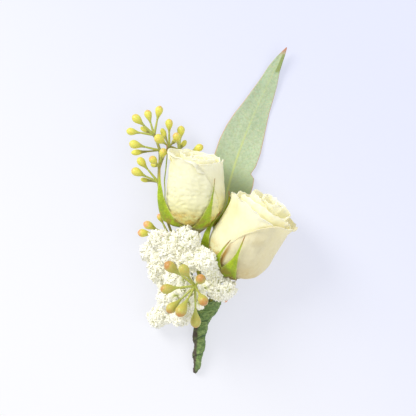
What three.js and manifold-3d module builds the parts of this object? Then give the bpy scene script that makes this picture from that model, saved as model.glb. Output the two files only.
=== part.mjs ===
// Pin-on corsage: two cream spray roses in front of one eucalyptus leaf, two sprigs of eucalyptus
// flower buds and a spray of double baby's breath, bound round their stems with floral tape.
//
// Millimetres. +Z is up and +Y runs from the taped handle to the leaf's tip. The corsage lies on its
// back with the flowers facing up, and the origin is on the surface below the middle of its outline.
import * as THREE from "three";
import { mergeVertices } from "three/addons/utils/BufferGeometryUtils.js";
import Module from "manifold-3d";

const wasm = await Module();
wasm.setup();

// ---------------------------------------------------------------- driving dimensions

const CLEARANCE = 0.3; // gap between pieces that touch
const STEM_SIDES = 8;
const TWIG_SIDES = 6;

const LEAF = {
  thickness: 0.5,
  curl: 0.9, // how far the margins rise above the midrib, 9 mm out from it
  // The midrib on the leaf's back, from the cut petiole inside the handle to the tip.
  midrib: [
    [-0.9, -44, 1.0],
    [0.6, -38, 1.1],
    [2.8, -26, 0.6],
    [4.1, -14.5, 0.1],
    [4.7, -1.7, 0.1],
    [6.3, 8.7, 0.1],
    [10.7, 19.1, 0.1],
    [16.1, 33.8, 0.1],
    [21, 45.8, 0.3],
    [27.6, 60.5, 1.8],
    [33, 70.3, 4.0],
  ],
  // Half widths at stations along the midrib, as [share of its length, left, right]. The right margin
  // has a torn notch at 0.53.
  margins: [
    [0, 0.7, 0.7],
    [0.1, 0.8, 0.8],
    [0.2, 0.9, 0.8],
    [0.25, 1.7, 1.0],
    [0.29, 2.7, 1.8],
    [0.34, 4.2, 4.8],
    [0.39, 5.6, 7.8],
    [0.43, 6.9, 10],
    [0.47, 8.5, 11],
    [0.5, 9.5, 10.6],
    [0.522, 9.8, 9.7],
    [0.532, 9.9, 7.6],
    [0.56, 10.2, 8.5],
    [0.61, 10.3, 8.5],
    [0.66, 9.6, 7.7],
    [0.71, 8.3, 6.7],
    [0.76, 6.5, 5.6],
    [0.81, 5.1, 4.9],
    [0.86, 3.8, 4],
    [0.91, 3, 2.4],
    [0.955, 1.8, 1.4],
    [0.98, 0.9, 0.8],
    [1, 0.1, 0.1],
  ],
};

// A rose's outline is the line that its outer petals follow, as [radius, height] from its centre, both
// as shares of its radius. Each petal lies on a copy of that shell, scaled about the centre.
// Petals are [scale, turn from the top side, half width, rim at its left, rim at its right]: the turns
// are in degrees and the rims are shares of the way up the outline.
// Sepals are [turn, length up the outline, half width in mm, flare away from the petals].
const PETAL_THICKNESS = 0.45;
const PETAL_FOOT = 0.12; // where the petals and sepals begin on the outline
const ROSES = {
  upright: {
    centre: [-5.9, 8.4, 15.0],
    radius: 12.5,
    axis: [0.02, 0.97, 0.23],
    outline: [
      [0, -1.18],
      [0.42, -1.13],
      [0.78, -0.92],
      [0.98, -0.55],
      [1.01, -0.1],
      [0.97, 0.35],
      [0.9, 0.8],
      [0.87, 1.18],
      [0.95, 1.55],
    ],
    hipDepth: 0.3,
    petals: [
      [1.0, -16, 84, 1.0, 0.9],
      [0.93, 92, 80, 0.86, 0.92],
      [0.86, -158, 78, 0.95, 0.92],
      [0.79, -62, 74, 1.0, 0.96],
      [0.72, 60, 84, 0.94, 0.96],
    ],
    sepals: [
      [-72, 0.74, 3.0, 0.26],
      [34, 0.6, 3.0, 0.03],
      [120, 0.38, 2.2, 0.0],
      [150, 0.4, 2.2, 0.0],
      [-116, 0.62, 2.0, 0.32],
    ],
  },
  tilted: {
    centre: [15.4, -11.3, 16.0],
    radius: 14.2,
    axis: [0.52, 0.81, 0.25],
    outline: [
      [0, -1.18],
      [0.42, -1.13],
      [0.78, -0.94],
      [0.98, -0.58],
      [1.01, -0.1],
      [0.98, 0.3],
      [0.98, 0.65],
      [1.02, 0.92],
      [1.1, 1.16],
    ],
    hipDepth: 0.28,
    petals: [
      [1.0, 62, 84, 0.62, 1.0],
      [0.93, -58, 84, 1.0, 0.96],
      [0.86, 150, 80, 0.96, 1.0],
      [0.79, -140, 74, 0.98, 0.94],
      [0.72, 24, 84, 0.9, 0.96],
    ],
    sepals: [
      [4, 0.5, 3.2, 0.06],
      [-30, 0.46, 2.6, 0.03],
      [-70, 0.5, 2.0, 0.0],
      [-146, 0.38, 2.2, 0.0],
      [112, 0.36, 2.2, 0.02],
    ],
  },
};

// Rose stems, from below the hip down into the handle.
const ROSE_STEMS = {
  upright: {
    radius: 1.05,
    below: [
      [-6.2, -20, 8.4],
      [-3.6, -31, 6.6],
      [-2.6, -38, 5.8],
      [-3.6, -44, 4.6],
      [-4.9, -50, 3.5],
      [-5.0, -56, 3.0],
    ],
  },
  tilted: {
    radius: 1.05,
    below: [
      [3.0, -34.0, 7.4],
      [1.3, -38, 6.0],
      [-0.3, -43, 4.6],
      [-1.6, -46.5, 4.0],
    ],
  },
};

// The taped handle, as [y, x of its middle, half width, half height], from the collar to the end.
const HANDLE = {
  wall: 0.45,
  sections: [
    [-37.6, -0.6, 6.3, 4.4],
    [-40.0, -0.9, 6.0, 4.2],
    [-44.0, -2.2, 4.9, 3.8],
    [-48.0, -3.8, 3.7, 3.4],
    [-52.0, -4.4, 3.1, 3.1],
    [-58.0, -4.8, 2.85, 2.85],
    [-64.0, -5.3, 2.3, 2.4],
    [-68.0, -5.9, 1.7, 1.8],
    [-69.6, -6.2, 0.9, 1.0],
  ],
};

// Eucalyptus buds are [from, to, radius]: the foot of the stalk, the tip, and the swollen part's radius.
const UPPER_SPRIG = {
  radius: 0.6,
  main: [
    [-4.9, -44, 2.2],
    [-4.3, -38, 2.6],
    [-11.5, -24, 2.4],
    [-16.4, -9.5, 4.6],
    [-20.6, 3, 8.2],
    [-21.9, 12.2, 9.6],
    [-21.6, 19, 9.6],
    [-21.4, 25.8, 9.4],
    [-23.8, 32.4, 9.0],
  ],
  twigs: [
    [
      [-21.7, 17.5, 9.6],
      [-19.6, 23.5, 8.4],
      [-17.4, 27.4, 7.8],
      [-13.2, 26.0, 6.6],
      [-9.6, 24.4, 5.6],
    ],
    [
      [-16.4, -9.5, 4.6],
      [-17.6, -10.4, 8.2],
    ],
  ],
  buds: {
    upper_bud_1: [[-23.8, 32.4, 9.0], [-32.8, 40.7, 12.5], 1.95],
    upper_bud_2: [[-23.8, 32.4, 9.0], [-27.0, 43.2, 7.6], 1.75],
    upper_bud_3: [[-23.8, 32.4, 9.0], [-21.2, 44.8, 11.0], 1.8],
    upper_bud_4: [[-23.8, 32.4, 9.0], [-35.7, 34.2, 8.6], 1.75],
    upper_bud_5: [[-17.4, 27.4, 7.8], [-17.4, 39.2, 11.2], 1.75],
    upper_bud_6: [[-17.4, 27.4, 7.8], [-22.9, 31.6, 15.6], 2.15],
    upper_bud_7: [[-13.2, 26.0, 6.6], [-12.2, 36.5, 7.4], 1.8],
    upper_bud_8: [[-13.2, 26.0, 6.6], [-14.4, 33.0, 13.4], 1.85],
    upper_bud_9: [[-9.6, 24.4, 5.6], [-3.0, 27.9, 8.2], 1.7],
    upper_bud_10: [[-21.4, 25.8, 9.4], [-34.3, 28.8, 13.2], 2.0],
    upper_bud_11: [[-21.9, 12.2, 9.6], [-30.6, 22.6, 12.0], 1.85],
    upper_bud_12: [[-21.9, 12.2, 9.6], [-33.3, 17.6, 13.4], 2.0],
    upper_bud_13: [[-21.6, 19, 9.6], [-19.4, 26.4, 15.0], 1.75],
    upper_bud_14: [[-21.6, 19, 9.6], [-25.0, 22.6, 16.0], 1.8],
    side_bud_1: [[-17.6, -10.4, 8.2], [-28.3, -5.0, 9.8], 1.9],
    side_bud_2: [[-17.6, -10.4, 8.2], [-31.0, -9.2, 6.4], 1.9],
    side_bud_3: [[-17.6, -10.4, 8.2], [-22.0, -1.2, 8.6], 1.4],
  },
  // Small unripe buds that stay on the sprig: the same, joined to it.
  unripe: [
    [[-23.8, 32.4, 9.0], [-29.8, 35.9, 6.0], 1.3],
    [[-17.4, 27.4, 7.8], [-20.8, 35.6, 5.2], 1.4],
    [[-17.4, 27.4, 7.8], [-14.6, 30.8, 2.6], 1.1],
    [[-13.2, 26.0, 6.6], [-10.2, 30.4, 3.2], 1.3],
    [[-21.4, 25.8, 9.4], [-33.9, 24.8, 7.6], 1.5],
    [[-21.9, 12.2, 9.6], [-29.8, 13.6, 7.4], 1.2],
    [[-21.6, 19, 9.6], [-25.4, 20.0, 8.0], 1.2],
  ],
};

const FRONT_SPRIG = {
  radius: 0.62,
  main: [
    [-2.2, -44, 6.2],
    [-2.2, -39.5, 7.1],
    [-2.8, -36.6, 8.0],
    [-5.0, -33.8, 13.5],
    [-6.2, -31.2, 26.5],
  ],
  twigs: [
    [
      [-3.2, -35.8, 9.2],
      [0.6, -36.2, 11.6],
      [3.6, -37.2, 12.2],
    ],
  ],
  buds: {
    front_bud_1: [[-6.2, -31.2, 26.5], [-18.8, -21.4, 29.5], 2.45],
    front_bud_2: [[-6.2, -31.2, 26.5], [-11.9, -22.6, 36.5], 2.4],
    front_bud_3: [[-6.2, -31.2, 26.5], [-3.3, -27.2, 38.0], 2.25],
    front_bud_4: [[-6.2, -31.2, 26.5], [-20.7, -32.6, 29.5], 2.3],
    front_bud_5: [[-6.2, -31.2, 26.5], [-13.3, -43.6, 32.5], 2.55],
    front_bud_6: [[-6.2, -31.2, 26.5], [-18.0, -42.2, 27.0], 2.3],
    front_bud_7: [[-6.2, -31.2, 26.5], [-6.0, -48.9, 24.5], 2.4],
    front_bud_8: [[-6.2, -31.2, 26.5], [-2.0, -38.4, 36.0], 2.3],
    front_bud_9: [[3.6, -37.2, 12.2], [7.4, -38.2, 10.0], 1.3],
  },
  unripe: [],
};

// Baby's breath heads are [middle, radius, way it faces].
const BABYS_BREATH = {
  hub: [-6.6, -34.6, 6.6],
  foot: [
    [-3.4, -43.5, 2.4],
    [-4.7, -38.5, 4.9],
  ],
  twigRadius: 0.45,
  depth: 0.82, // a head's half height, as a share of its radius
  heads: [
    [[-9.2, -11.4, 21.5], 4.5, [0.1, 0.5, 1]],
    [[-21.4, -12.0, 13.6], 3.7, [-0.7, 0.5, 0.7]],
    [[-25.2, -17.6, 5.0], 4.3, [-1, 0.3, 0.5]],
    [[-16.4, -17.6, 16.4], 4.1, [-0.5, 0.3, 1]],
    [[-8.6, -20.4, 20.6], 4.5, [0, 0.1, 1]],
    [[-1.8, -21.2, 25.8], 4.1, [0.2, 0.2, 1]],
    [[-20.9, -25.2, 9.8], 4.3, [-0.9, -0.1, 0.8]],
    [[-13.9, -29.6, 15.4], 4.5, [-0.3, -0.2, 1]],
    [[5.0, -32.2, 19.6], 4.7, [0.6, -0.2, 1]],
    [[-17.4, -37.0, 11.6], 4.1, [-0.6, -0.4, 0.8]],
    [[-21.6, -45.2, 5.6], 4.4, [-0.7, -0.7, 0.6]],
    [[-11.6, -43.6, 14.2], 3.9, [-0.2, -0.6, 0.9]],
  ],
};

const STEM_WIRE = {
  radius: 0.4,
  path: [
    [4.6, -34.6, 8.2],
    [3.6, -38, 5.6],
    [0.6, -44, 2.4],
    [-2.8, -49, 1.4],
    [-4.5, -54, 1.0],
    [-5.0, -60, 1.0],
  ],
};

// ---------------------------------------------------------------- materials

const finish = (color, roughness) => new THREE.MeshStandardMaterial({ color, roughness, metalness: 0 });
const MATERIALS = {
  leaf: finish(0xaebb96, 0.6),
  petal: finish(0xf1ecc6, 0.55),
  sepal: finish(0x8fb030, 0.5),
  rose_stem: finish(0x6f8a34, 0.6),
  bud: finish(0xd2d05a, 0.45),
  bud_twig: finish(0xa8a65a, 0.6),
  floret: finish(0xf4f3e4, 0.8),
  floret_twig: finish(0x9aa66a, 0.7),
  tape: finish(0x4f7f45, 0.75),
  wire: finish(0x5c6b4a, 0.5),
};

// ---------------------------------------------------------------- geometry helpers

const vector = (p) => new THREE.Vector3(...p);
const UP = new THREE.Vector3(0, 1, 0); // the axis of every turned or petalled shape in its own frame

/** The geometry with its faces pointing out. */
function facingOut(geometry) {
  const made = mergeVertices(bare(geometry), 1e-4);
  const p = made.attributes.position;
  const index = made.index.array;
  const [a, b, c] = [new THREE.Vector3(), new THREE.Vector3(), new THREE.Vector3()];
  let volume = 0;
  for (let i = 0; i < index.length; i += 3) {
    a.fromBufferAttribute(p, index[i]);
    b.fromBufferAttribute(p, index[i + 1]);
    c.fromBufferAttribute(p, index[i + 2]);
    volume += a.dot(b.cross(c));
  }
  if (volume < 0) for (let i = 0; i < index.length; i += 3) [index[i], index[i + 1]] = [index[i + 1], index[i]];
  return made;
}

/** The geometry with only its positions, so that shared vertices can merge. */
function bare(geometry) {
  const made = geometry.clone();
  for (const name of Object.keys(made.attributes)) if (name !== "position") made.deleteAttribute(name);
  return made;
}

/** One geometry from several closed ones that run into each other. */
function joined(geometries) {
  const solids = geometries.map((geometry) => {
    const g = facingOut(geometry);
    return new wasm.Manifold(
      new wasm.Mesh({ numProp: 3, vertProperties: g.attributes.position.array, triVerts: new Uint32Array(g.index.array) }),
    );
  });
  const mesh = solids.reduce((whole, piece) => whole.add(piece)).getMesh();
  return new THREE.BufferGeometry()
    .setAttribute("position", new THREE.BufferAttribute(mesh.vertProperties, 3))
    .setIndex(new THREE.BufferAttribute(mesh.triVerts, 1));
}

/** A closed thin solid between two surfaces of (u, v), with u from -1 to 1 across and v from 0 to 1 along. */
function sheet(front, back, across, along) {
  const positions = [];
  const index = [];
  for (const side of [front, back])
    for (let j = 0; j <= along; j++)
      for (let i = 0; i <= across; i++) positions.push(...side((2 * i) / across - 1, j / along));
  const at = (side, i, j) => (side * (along + 1) + j) * (across + 1) + i;
  const quad = (a, b, c, d) => index.push(a, b, c, a, c, d);
  for (let j = 0; j < along; j++)
    for (let i = 0; i < across; i++) {
      quad(at(0, i, j), at(0, i + 1, j), at(0, i + 1, j + 1), at(0, i, j + 1));
      quad(at(1, i, j), at(1, i, j + 1), at(1, i + 1, j + 1), at(1, i + 1, j));
    }
  for (let i = 0; i < across; i++) {
    quad(at(0, i, 0), at(1, i, 0), at(1, i + 1, 0), at(0, i + 1, 0));
    quad(at(0, i, along), at(0, i + 1, along), at(1, i + 1, along), at(1, i, along));
  }
  for (let j = 0; j < along; j++) {
    quad(at(0, 0, j), at(0, 0, j + 1), at(1, 0, j + 1), at(1, 0, j));
    quad(at(0, across, j), at(1, across, j), at(1, across, j + 1), at(0, across, j + 1));
  }
  const geometry = new THREE.BufferGeometry();
  geometry.setAttribute("position", new THREE.Float32BufferAttribute(positions, 3));
  geometry.setIndex(index);
  return facingOut(geometry);
}

/** A round stem along a smooth path. */
function stem(points, radius, sides = STEM_SIDES, stepsPerSpan = 3) {
  const ring = Array.from({ length: sides }, (_, i) => {
    const turn = (2 * Math.PI * i) / sides;
    return new THREE.Vector2(radius * Math.cos(turn), radius * Math.sin(turn));
  });
  const path = new THREE.CatmullRomCurve3(points.map(vector), false, "centripetal");
  const steps = stepsPerSpan * (points.length - 1);
  return facingOut(new THREE.ExtrudeGeometry(new THREE.Shape(ring), { steps, bevelEnabled: false, extrudePath: path }));
}

/** A turned shape from a profile of [radius, height] points, about its own Y axis. */
const turned = (profile, segments) =>
  facingOut(new THREE.LatheGeometry(profile.map(([r, h]) => new THREE.Vector2(r, h)), segments));

const corsage = new THREE.Group();

/** A named piece in a group. */
function piece(name, geometry, material, group = corsage) {
  const mesh = new THREE.Mesh(geometry, material);
  mesh.name = name;
  group.add(mesh);
  return mesh;
}

// ---------------------------------------------------------------- the leaf

function eucalyptusLeaf() {
  const midrib = new THREE.CatmullRomCurve3(LEAF.midrib.map(vector), false, "centripetal");
  const last = LEAF.margins.length - 1;
  const surface = (height) => (u, v) => {
    const [share, left, right] = LEAF.margins[Math.round(v * last)];
    const middle = midrib.getPointAt(share);
    const tangent = midrib.getTangentAt(share);
    const across = new THREE.Vector3(tangent.y, -tangent.x, 0).normalize();
    const reach = u < 0 ? left * u : right * u;
    middle.addScaledVector(across, reach);
    return [middle.x, middle.y, middle.z + LEAF.curl * (reach / 9) ** 2 + height];
  };
  piece("eucalyptus_leaf", sheet(surface(LEAF.thickness), surface(0), 4, last), MATERIALS.leaf);
}

// ---------------------------------------------------------------- the roses

/** A point on a rose's shell, in its own frame: up the outline by t and round the axis by turn. */
function onShell({ radius, curve }, scale, t, turn) {
  const p = curve.getPoint(t);
  const r = Math.max(p.x, 0) * radius * scale;
  return [r * Math.sin(turn), p.y * radius * scale, r * Math.cos(turn)];
}

function petal(shell, [scale, , halfWidth, rimLeft, rimRight]) {
  const surface = (inset) => (u, v) => {
    const spread = THREE.MathUtils.degToRad(halfWidth) * (0.6 + 0.4 * Math.sin(Math.min(1, 1.6 * v) * 0.5 * Math.PI));
    const rim = THREE.MathUtils.lerp(rimLeft, rimRight, 0.5 + 0.5 * u) - 0.1 * u ** 4;
    const t = PETAL_FOOT + (rim - PETAL_FOOT) * v;
    return onShell(shell, scale - inset / shell.radius, t, u * spread);
  };
  return sheet(surface(0), surface(PETAL_THICKNESS), 8, 6);
}

/** The tightly rolled petals in the middle of the flower, as the one closed shape that they make. */
function heart({ radius, curve }) {
  const scale = 0.64;
  const profile = curve.getPoints(7).map((p) => [Math.max(p.x, 0) * radius * scale, p.y * radius * scale]);
  const [rimRadius, rimHeight] = profile.at(-1);
  return turned([...profile, [0.72 * rimRadius, rimHeight + 2.6], [0, rimHeight + 3.2]], 12);
}

/** The hip under the petals with the five sepals that grow from its rim. */
function calyx(shell, sepals, depth) {
  const r = shell.radius;
  const foot = -1.26; // where the hip meets the petals
  const hip = turned(
    [
      [0, (foot - depth) * r],
      [0.13 * r, (foot - 0.96 * depth) * r],
      [0.2 * r, (foot - 0.7 * depth) * r],
      [0.34 * r, (foot - 0.34 * depth) * r],
      [0.46 * r, foot * r],
      [0.5 * r, (foot + 0.1) * r],
      [0.28 * r, (foot + 0.03) * r],
      [0, (foot + 0.02) * r],
    ],
    10,
  );
  const blades = sepals.map(([turn, length, halfWidth, flare]) => {
    const surface = (inset) => (u, v) => {
      const scale = 1.07 + flare * v * v - inset / r;
      const t = PETAL_FOOT - 0.03 + length * v;
      const reach = Math.max(2, shell.curve.getPoint(t).x * r) * scale;
      const wide = halfWidth * (1 - v ** 1.5) * (0.75 + 0.5 * Math.sin(Math.PI * Math.min(1, v + 0.25))) + 0.25;
      return onShell(shell, scale, t, THREE.MathUtils.degToRad(turn) + (u * wide) / reach);
    };
    return sheet(surface(0), surface(0.4), 2, 7);
  });
  return joined([hip, ...blades]);
}

function rose(name, { centre, radius, axis, outline, hipDepth, petals, sepals }) {
  const shell = { radius, curve: new THREE.SplineCurve(outline.map((point) => new THREE.Vector2(...point))) };
  const flower = new THREE.Group();
  flower.position.set(...centre);
  // The flower's own Z axis is the side that faces up, so that turns are counted from the top.
  const up = vector(axis).normalize();
  const side = new THREE.Vector3().crossVectors(up, new THREE.Vector3(0, 0, 1)).normalize();
  flower.quaternion.setFromRotationMatrix(
    new THREE.Matrix4().makeBasis(side, up, new THREE.Vector3().crossVectors(side, up)),
  );
  petals.forEach((shape, i) => {
    const made = piece(`rose_${name}_petal_${i + 1}`, petal(shell, shape), MATERIALS.petal, flower);
    made.rotation.y = THREE.MathUtils.degToRad(shape[1]);
  });
  piece(`rose_${name}_heart`, heart(shell), MATERIALS.petal, flower);
  piece(`rose_${name}_calyx`, calyx(shell, sepals, hipDepth), MATERIALS.sepal, flower);
  corsage.add(flower);

  const { radius: stemRadius, below } = ROSE_STEMS[name];
  const top = vector(centre).addScaledVector(up, -(1.26 + hipDepth) * radius - 1.5 * CLEARANCE);
  piece(`rose_${name}_stem`, stem([top.toArray(), ...below], stemRadius), MATERIALS.rose_stem);
}

// ---------------------------------------------------------------- the bud sprigs

/** A bud and its stalk: a thin stalk that swells into the bud and closes in a short beak. */
function bud([from, to, radius], gap) {
  const length = vector(from).distanceTo(vector(to)) - gap;
  const swollen = Math.min(3.4 * radius, 0.75 * length);
  const profile = [
    [0, 0],
    [0.32, 0],
    [0.4, length - 1.35 * swollen],
    [0.5 * radius, length - 0.95 * swollen],
    [0.93 * radius, length - 0.66 * swollen],
    [0.97 * radius, length - 0.38 * swollen],
    [0.62 * radius, length - 0.13 * swollen],
    [0, length],
  ].map(([r, h]) => [r, Math.max(0, h)]);
  return turned(profile, 8);
}

/** Places a bud's geometry with its stalk's foot just clear of the twig. */
function placed(mesh, [from, to], gap) {
  const direction = vector(to).sub(vector(from)).normalize();
  mesh.position.copy(vector(from).addScaledVector(direction, gap));
  mesh.quaternion.setFromUnitVectors(UP, direction);
  mesh.updateMatrix();
  return mesh;
}

function sprig(name, { radius, main, twigs, buds, unripe }) {
  const knots = new Set(Object.values(buds).map(([from]) => from.join()));
  const knuckle = new THREE.SphereGeometry(radius * 1.45, 8, 6);
  const shapes = [
    stem(main, radius),
    ...twigs.map((twig) => stem(twig, 0.8 * radius, TWIG_SIDES)),
    ...[...knots].map((knot) => knuckle.clone().translate(...knot.split(",").map(Number))),
    ...unripe.map((shape) => {
      const mesh = placed(new THREE.Mesh(bud(shape, 0)), shape, 0);
      return mesh.geometry.clone().applyMatrix4(mesh.matrix);
    }),
  ];
  piece(`${name}_sprig_stem`, joined(shapes), MATERIALS.bud_twig);
  const gap = radius * 1.45 + CLEARANCE;
  for (const [budName, shape] of Object.entries(buds))
    placed(piece(budName, bud(shape, gap), MATERIALS.bud), shape, gap);
}

// ---------------------------------------------------------------- the baby's breath

function babysBreath() {
  const { hub, foot, twigRadius, depth, heads } = BABYS_BREATH;
  const twigs = [stem([...foot, hub], 1.3 * twigRadius, TWIG_SIDES)];
  heads.forEach(([middle, radius, facing], i) => {
    const direction = vector(facing).normalize();
    const dome = turned(
      [
        [0, -depth],
        [0.45, -0.86 * depth],
        [0.86, -0.35 * depth],
        [1, 0.1 * depth],
        [0.8, 0.66 * depth],
        [0.4, 0.94 * depth],
        [0, depth],
      ].map(([r, h]) => [r * radius, h * radius]),
      10,
    );
    const head = piece(`babys_breath_head_${i + 1}`, dome, MATERIALS.floret);
    head.position.set(...middle);
    head.quaternion.setFromUnitVectors(UP, direction);
    const base = vector(middle).addScaledVector(direction, -depth * radius - CLEARANCE);
    const below = base.clone().addScaledVector(direction, -1.5);
    const bend = vector(hub).lerp(below, 0.55);
    bend.z -= 1.2;
    twigs.push(stem([hub, bend.toArray(), below.toArray(), base.toArray()], twigRadius, TWIG_SIDES, 2));
  });
  piece("babys_breath_stems", joined(twigs), MATERIALS.floret_twig);
}

// ---------------------------------------------------------------- the handle

/** The floral tape: one tapered sleeve, open at the collar and closed round the cut stems' ends. */
function tapeSleeve() {
  const { wall, sections } = HANDLE;
  const sides = 16;
  const ring = ([y, x, halfWidth, halfHeight], inset) =>
    Array.from({ length: sides }, (_, i) => {
      const turn = (2 * Math.PI * i) / sides;
      return [x + (halfWidth - inset) * Math.cos(turn), y, halfHeight + (halfHeight - inset) * Math.sin(turn)];
    });
  const outer = sections.map((section) => ring(section, 0));
  const inner = sections.slice(0, -2).map((section) => ring(section, wall));
  const [endY, endX, , endHeight] = sections.at(-1);
  const [floorY, floorX, , floorHeight] = sections.at(-3);
  const rings = [...inner.reverse(), ...outer];
  const positions = [[floorX, floorY - wall, floorHeight], ...rings.flat(), [endX, endY - 0.4, endHeight]];
  const last = positions.length - 1;
  const at = (j, i) => 1 + j * sides + (i % sides);
  const index = [];
  for (let i = 0; i < sides; i++) {
    index.push(0, at(0, i), at(0, i + 1));
    for (let j = 0; j < rings.length - 1; j++) {
      index.push(at(j, i), at(j + 1, i), at(j + 1, i + 1));
      index.push(at(j, i), at(j + 1, i + 1), at(j, i + 1));
    }
    index.push(last, at(rings.length - 1, i + 1), at(rings.length - 1, i));
  }
  const geometry = new THREE.BufferGeometry();
  geometry.setAttribute("position", new THREE.Float32BufferAttribute(positions.flat(), 3));
  geometry.setIndex(index);
  piece("floral_tape", facingOut(geometry), MATERIALS.tape);
}

// ---------------------------------------------------------------- the whole corsage

eucalyptusLeaf();
for (const [name, shape] of Object.entries(ROSES)) rose(name, shape);
sprig("upper", UPPER_SPRIG);
sprig("front", FRONT_SPRIG);
babysBreath();
tapeSleeve();
piece("stem_wire", stem(STEM_WIRE.path, STEM_WIRE.radius, TWIG_SIDES), MATERIALS.wire);

// The origin goes below the middle of the outline, on the surface.
const box = new THREE.Box3().setFromObject(corsage, true);
const middle = box.getCenter(new THREE.Vector3());
corsage.position.set(-middle.x, -middle.y, -box.min.z);

export default corsage;
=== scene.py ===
import math

import bmesh
import bpy
import numpy as np
from bpy.props import FloatProperty, FloatVectorProperty, IntProperty, PointerProperty
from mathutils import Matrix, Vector
from mathutils.bvhtree import BVHTree


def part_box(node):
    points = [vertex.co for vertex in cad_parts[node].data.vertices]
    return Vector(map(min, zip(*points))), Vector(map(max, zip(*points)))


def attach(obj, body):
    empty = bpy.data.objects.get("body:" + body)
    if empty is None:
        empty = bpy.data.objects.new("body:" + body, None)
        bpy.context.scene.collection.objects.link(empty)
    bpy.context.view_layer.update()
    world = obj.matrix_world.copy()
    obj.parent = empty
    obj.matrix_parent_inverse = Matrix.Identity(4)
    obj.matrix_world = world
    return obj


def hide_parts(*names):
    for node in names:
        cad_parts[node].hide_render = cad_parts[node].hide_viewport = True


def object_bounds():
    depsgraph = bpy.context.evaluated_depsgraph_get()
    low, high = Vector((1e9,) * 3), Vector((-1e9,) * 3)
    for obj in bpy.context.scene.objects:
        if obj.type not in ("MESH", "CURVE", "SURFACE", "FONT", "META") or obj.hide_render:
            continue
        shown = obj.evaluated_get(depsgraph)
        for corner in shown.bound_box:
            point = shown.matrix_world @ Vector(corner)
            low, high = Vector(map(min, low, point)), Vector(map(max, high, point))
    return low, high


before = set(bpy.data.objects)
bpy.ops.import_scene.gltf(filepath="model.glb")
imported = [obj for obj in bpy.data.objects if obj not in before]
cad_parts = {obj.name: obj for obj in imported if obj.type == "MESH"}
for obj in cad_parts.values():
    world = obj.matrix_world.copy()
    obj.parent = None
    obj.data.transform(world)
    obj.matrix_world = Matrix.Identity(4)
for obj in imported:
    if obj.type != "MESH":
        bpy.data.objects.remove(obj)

bl_info = {
    "name": "Pin-on corsage",
    "version": (1, 0, 0),
    "blender": (4, 5, 0),
    "location": "3D View > Sidebar > Corsage",
    "description": "Roses, eucalyptus and baby's breath round the packed frame of a pin-on corsage",
    "category": "Object",
}

MM = 0.001
CAD_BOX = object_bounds()
GOLDEN_ANGLE = math.radians(137.508)
HEART_SCALE = 0.64  # the solid in the middle of a rose, as a share of the shell that its petals lie on
HEART_RINGS = 8  # rings of that solid that follow the shell
BELLY_RINGS = 5  # the rings of them that are no higher than the rose's belly
BELLY = 1.01  # the shell's radius at the belly, in radii of the rose
FOOT_DEPTH = 1.18  # the shell's foot below its centre, in radii


# ---------------------------------------------------------------- reading the frame


def corners(node):
    """The vertices of a CAD node, each once, in metres."""
    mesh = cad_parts[node].data
    flat = np.empty(3 * len(mesh.vertices))
    mesh.vertices.foreach_get("co", flat)
    return np.unique(np.round(flat.reshape(-1, 3), 7), axis=0)


def nodes_named(start):
    """The CAD nodes whose names are start and a number, in order."""
    found = [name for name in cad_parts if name.startswith(start) and name[len(start):].isdigit()]
    return sorted(found, key=lambda name: int(name[len(start):]))


def turned(node):
    """Middle, axis, heights along the axis and distances from it, of a turned CAD solid's corners."""
    points = corners(node)
    middle = points.mean(axis=0)
    spread = np.linalg.svd(points - middle, full_matrices=False)
    sizes = spread[1]
    axis = spread[2][0] if sizes[0] - sizes[1] > sizes[1] - sizes[2] else spread[2][2]
    heights = (points - middle) @ axis
    distances = np.linalg.norm(points - middle - heights[:, None] * axis, axis=1)
    return middle, axis, heights, distances


def unit(vector):
    return vector / np.linalg.norm(vector)


class RoseFrame:
    """Where a rose stands: its centre, its own three directions, and the shell its petals lie on."""

    def __init__(self, name):
        middle, axis, heights, distances = turned(f"rose_{name}_heart")
        hip = corners(f"rose_{name}_calyx").mean(axis=0)
        if (middle - hip) @ axis < 0:
            axis, heights = -axis, -heights
        rings = sorted(set(np.round(heights, 5)))[:HEART_RINGS]
        radii = [distances[np.abs(heights - ring) < 2e-5].max() for ring in rings]
        self.radius = max(radii[:BELLY_RINGS]) / HEART_SCALE / BELLY
        self.up = axis
        self.side = unit(np.cross(axis, (0.0, 0.0, 1.0)))
        self.front = np.cross(self.side, axis)
        depth = FOOT_DEPTH * self.radius
        self.centre = middle + (rings[0] + HEART_SCALE * depth) * axis
        steps = np.linspace(0, 1, HEART_RINGS)
        fine = np.linspace(0, 1, 161)
        self.share = fine
        self.shell_radius = smooth_line(fine, steps, np.array(radii) / HEART_SCALE)
        self.shell_height = smooth_line(fine, steps, (np.array(rings) - rings[0]) / HEART_SCALE - depth)

    def shell(self, share):
        """(radius, height) of the shell at a share of the way up it."""
        radius = np.interp(share, self.share, self.shell_radius)
        return radius, np.interp(share, self.share, self.shell_height)

    def share_at(self, height):
        """The share of the way up the shell at a height in radii."""
        return np.interp(height * self.radius, self.shell_height, self.share)

    def place(self, radius, height, turn):
        """Points in the row frame. turn is from the side that faces up, positive to the right."""
        out = np.sin(turn)[..., None] * self.side + np.cos(turn)[..., None] * self.front
        return self.centre + radius[..., None] * out + height[..., None] * self.up


def smooth_line(x, steps, values):
    """A smooth curve through evenly spaced values (Catmull-Rom)."""
    values = np.asarray(values, float)
    x = np.asarray(x, float)
    padded = np.concatenate([[2 * values[0] - values[1]], values, [2 * values[-1] - values[-2]]])
    place = np.clip((x - steps[0]) / (steps[1] - steps[0]), 0, len(values) - 1)
    cell = np.minimum(place.astype(int), len(values) - 2)
    t = place - cell
    a, b, c, d = (padded[cell + i] for i in range(4))
    return b + 0.5 * t * (c - a + t * (2 * a - 5 * b + 4 * c - d + t * (3 * (b - c) + d - a)))


def spread_values(x, values):
    """A smooth curve from -1 to 1 through evenly spaced values."""
    return smooth_line(x, np.linspace(-1, 1, len(values)), values)


# ---------------------------------------------------------------- surfaces in code


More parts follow.
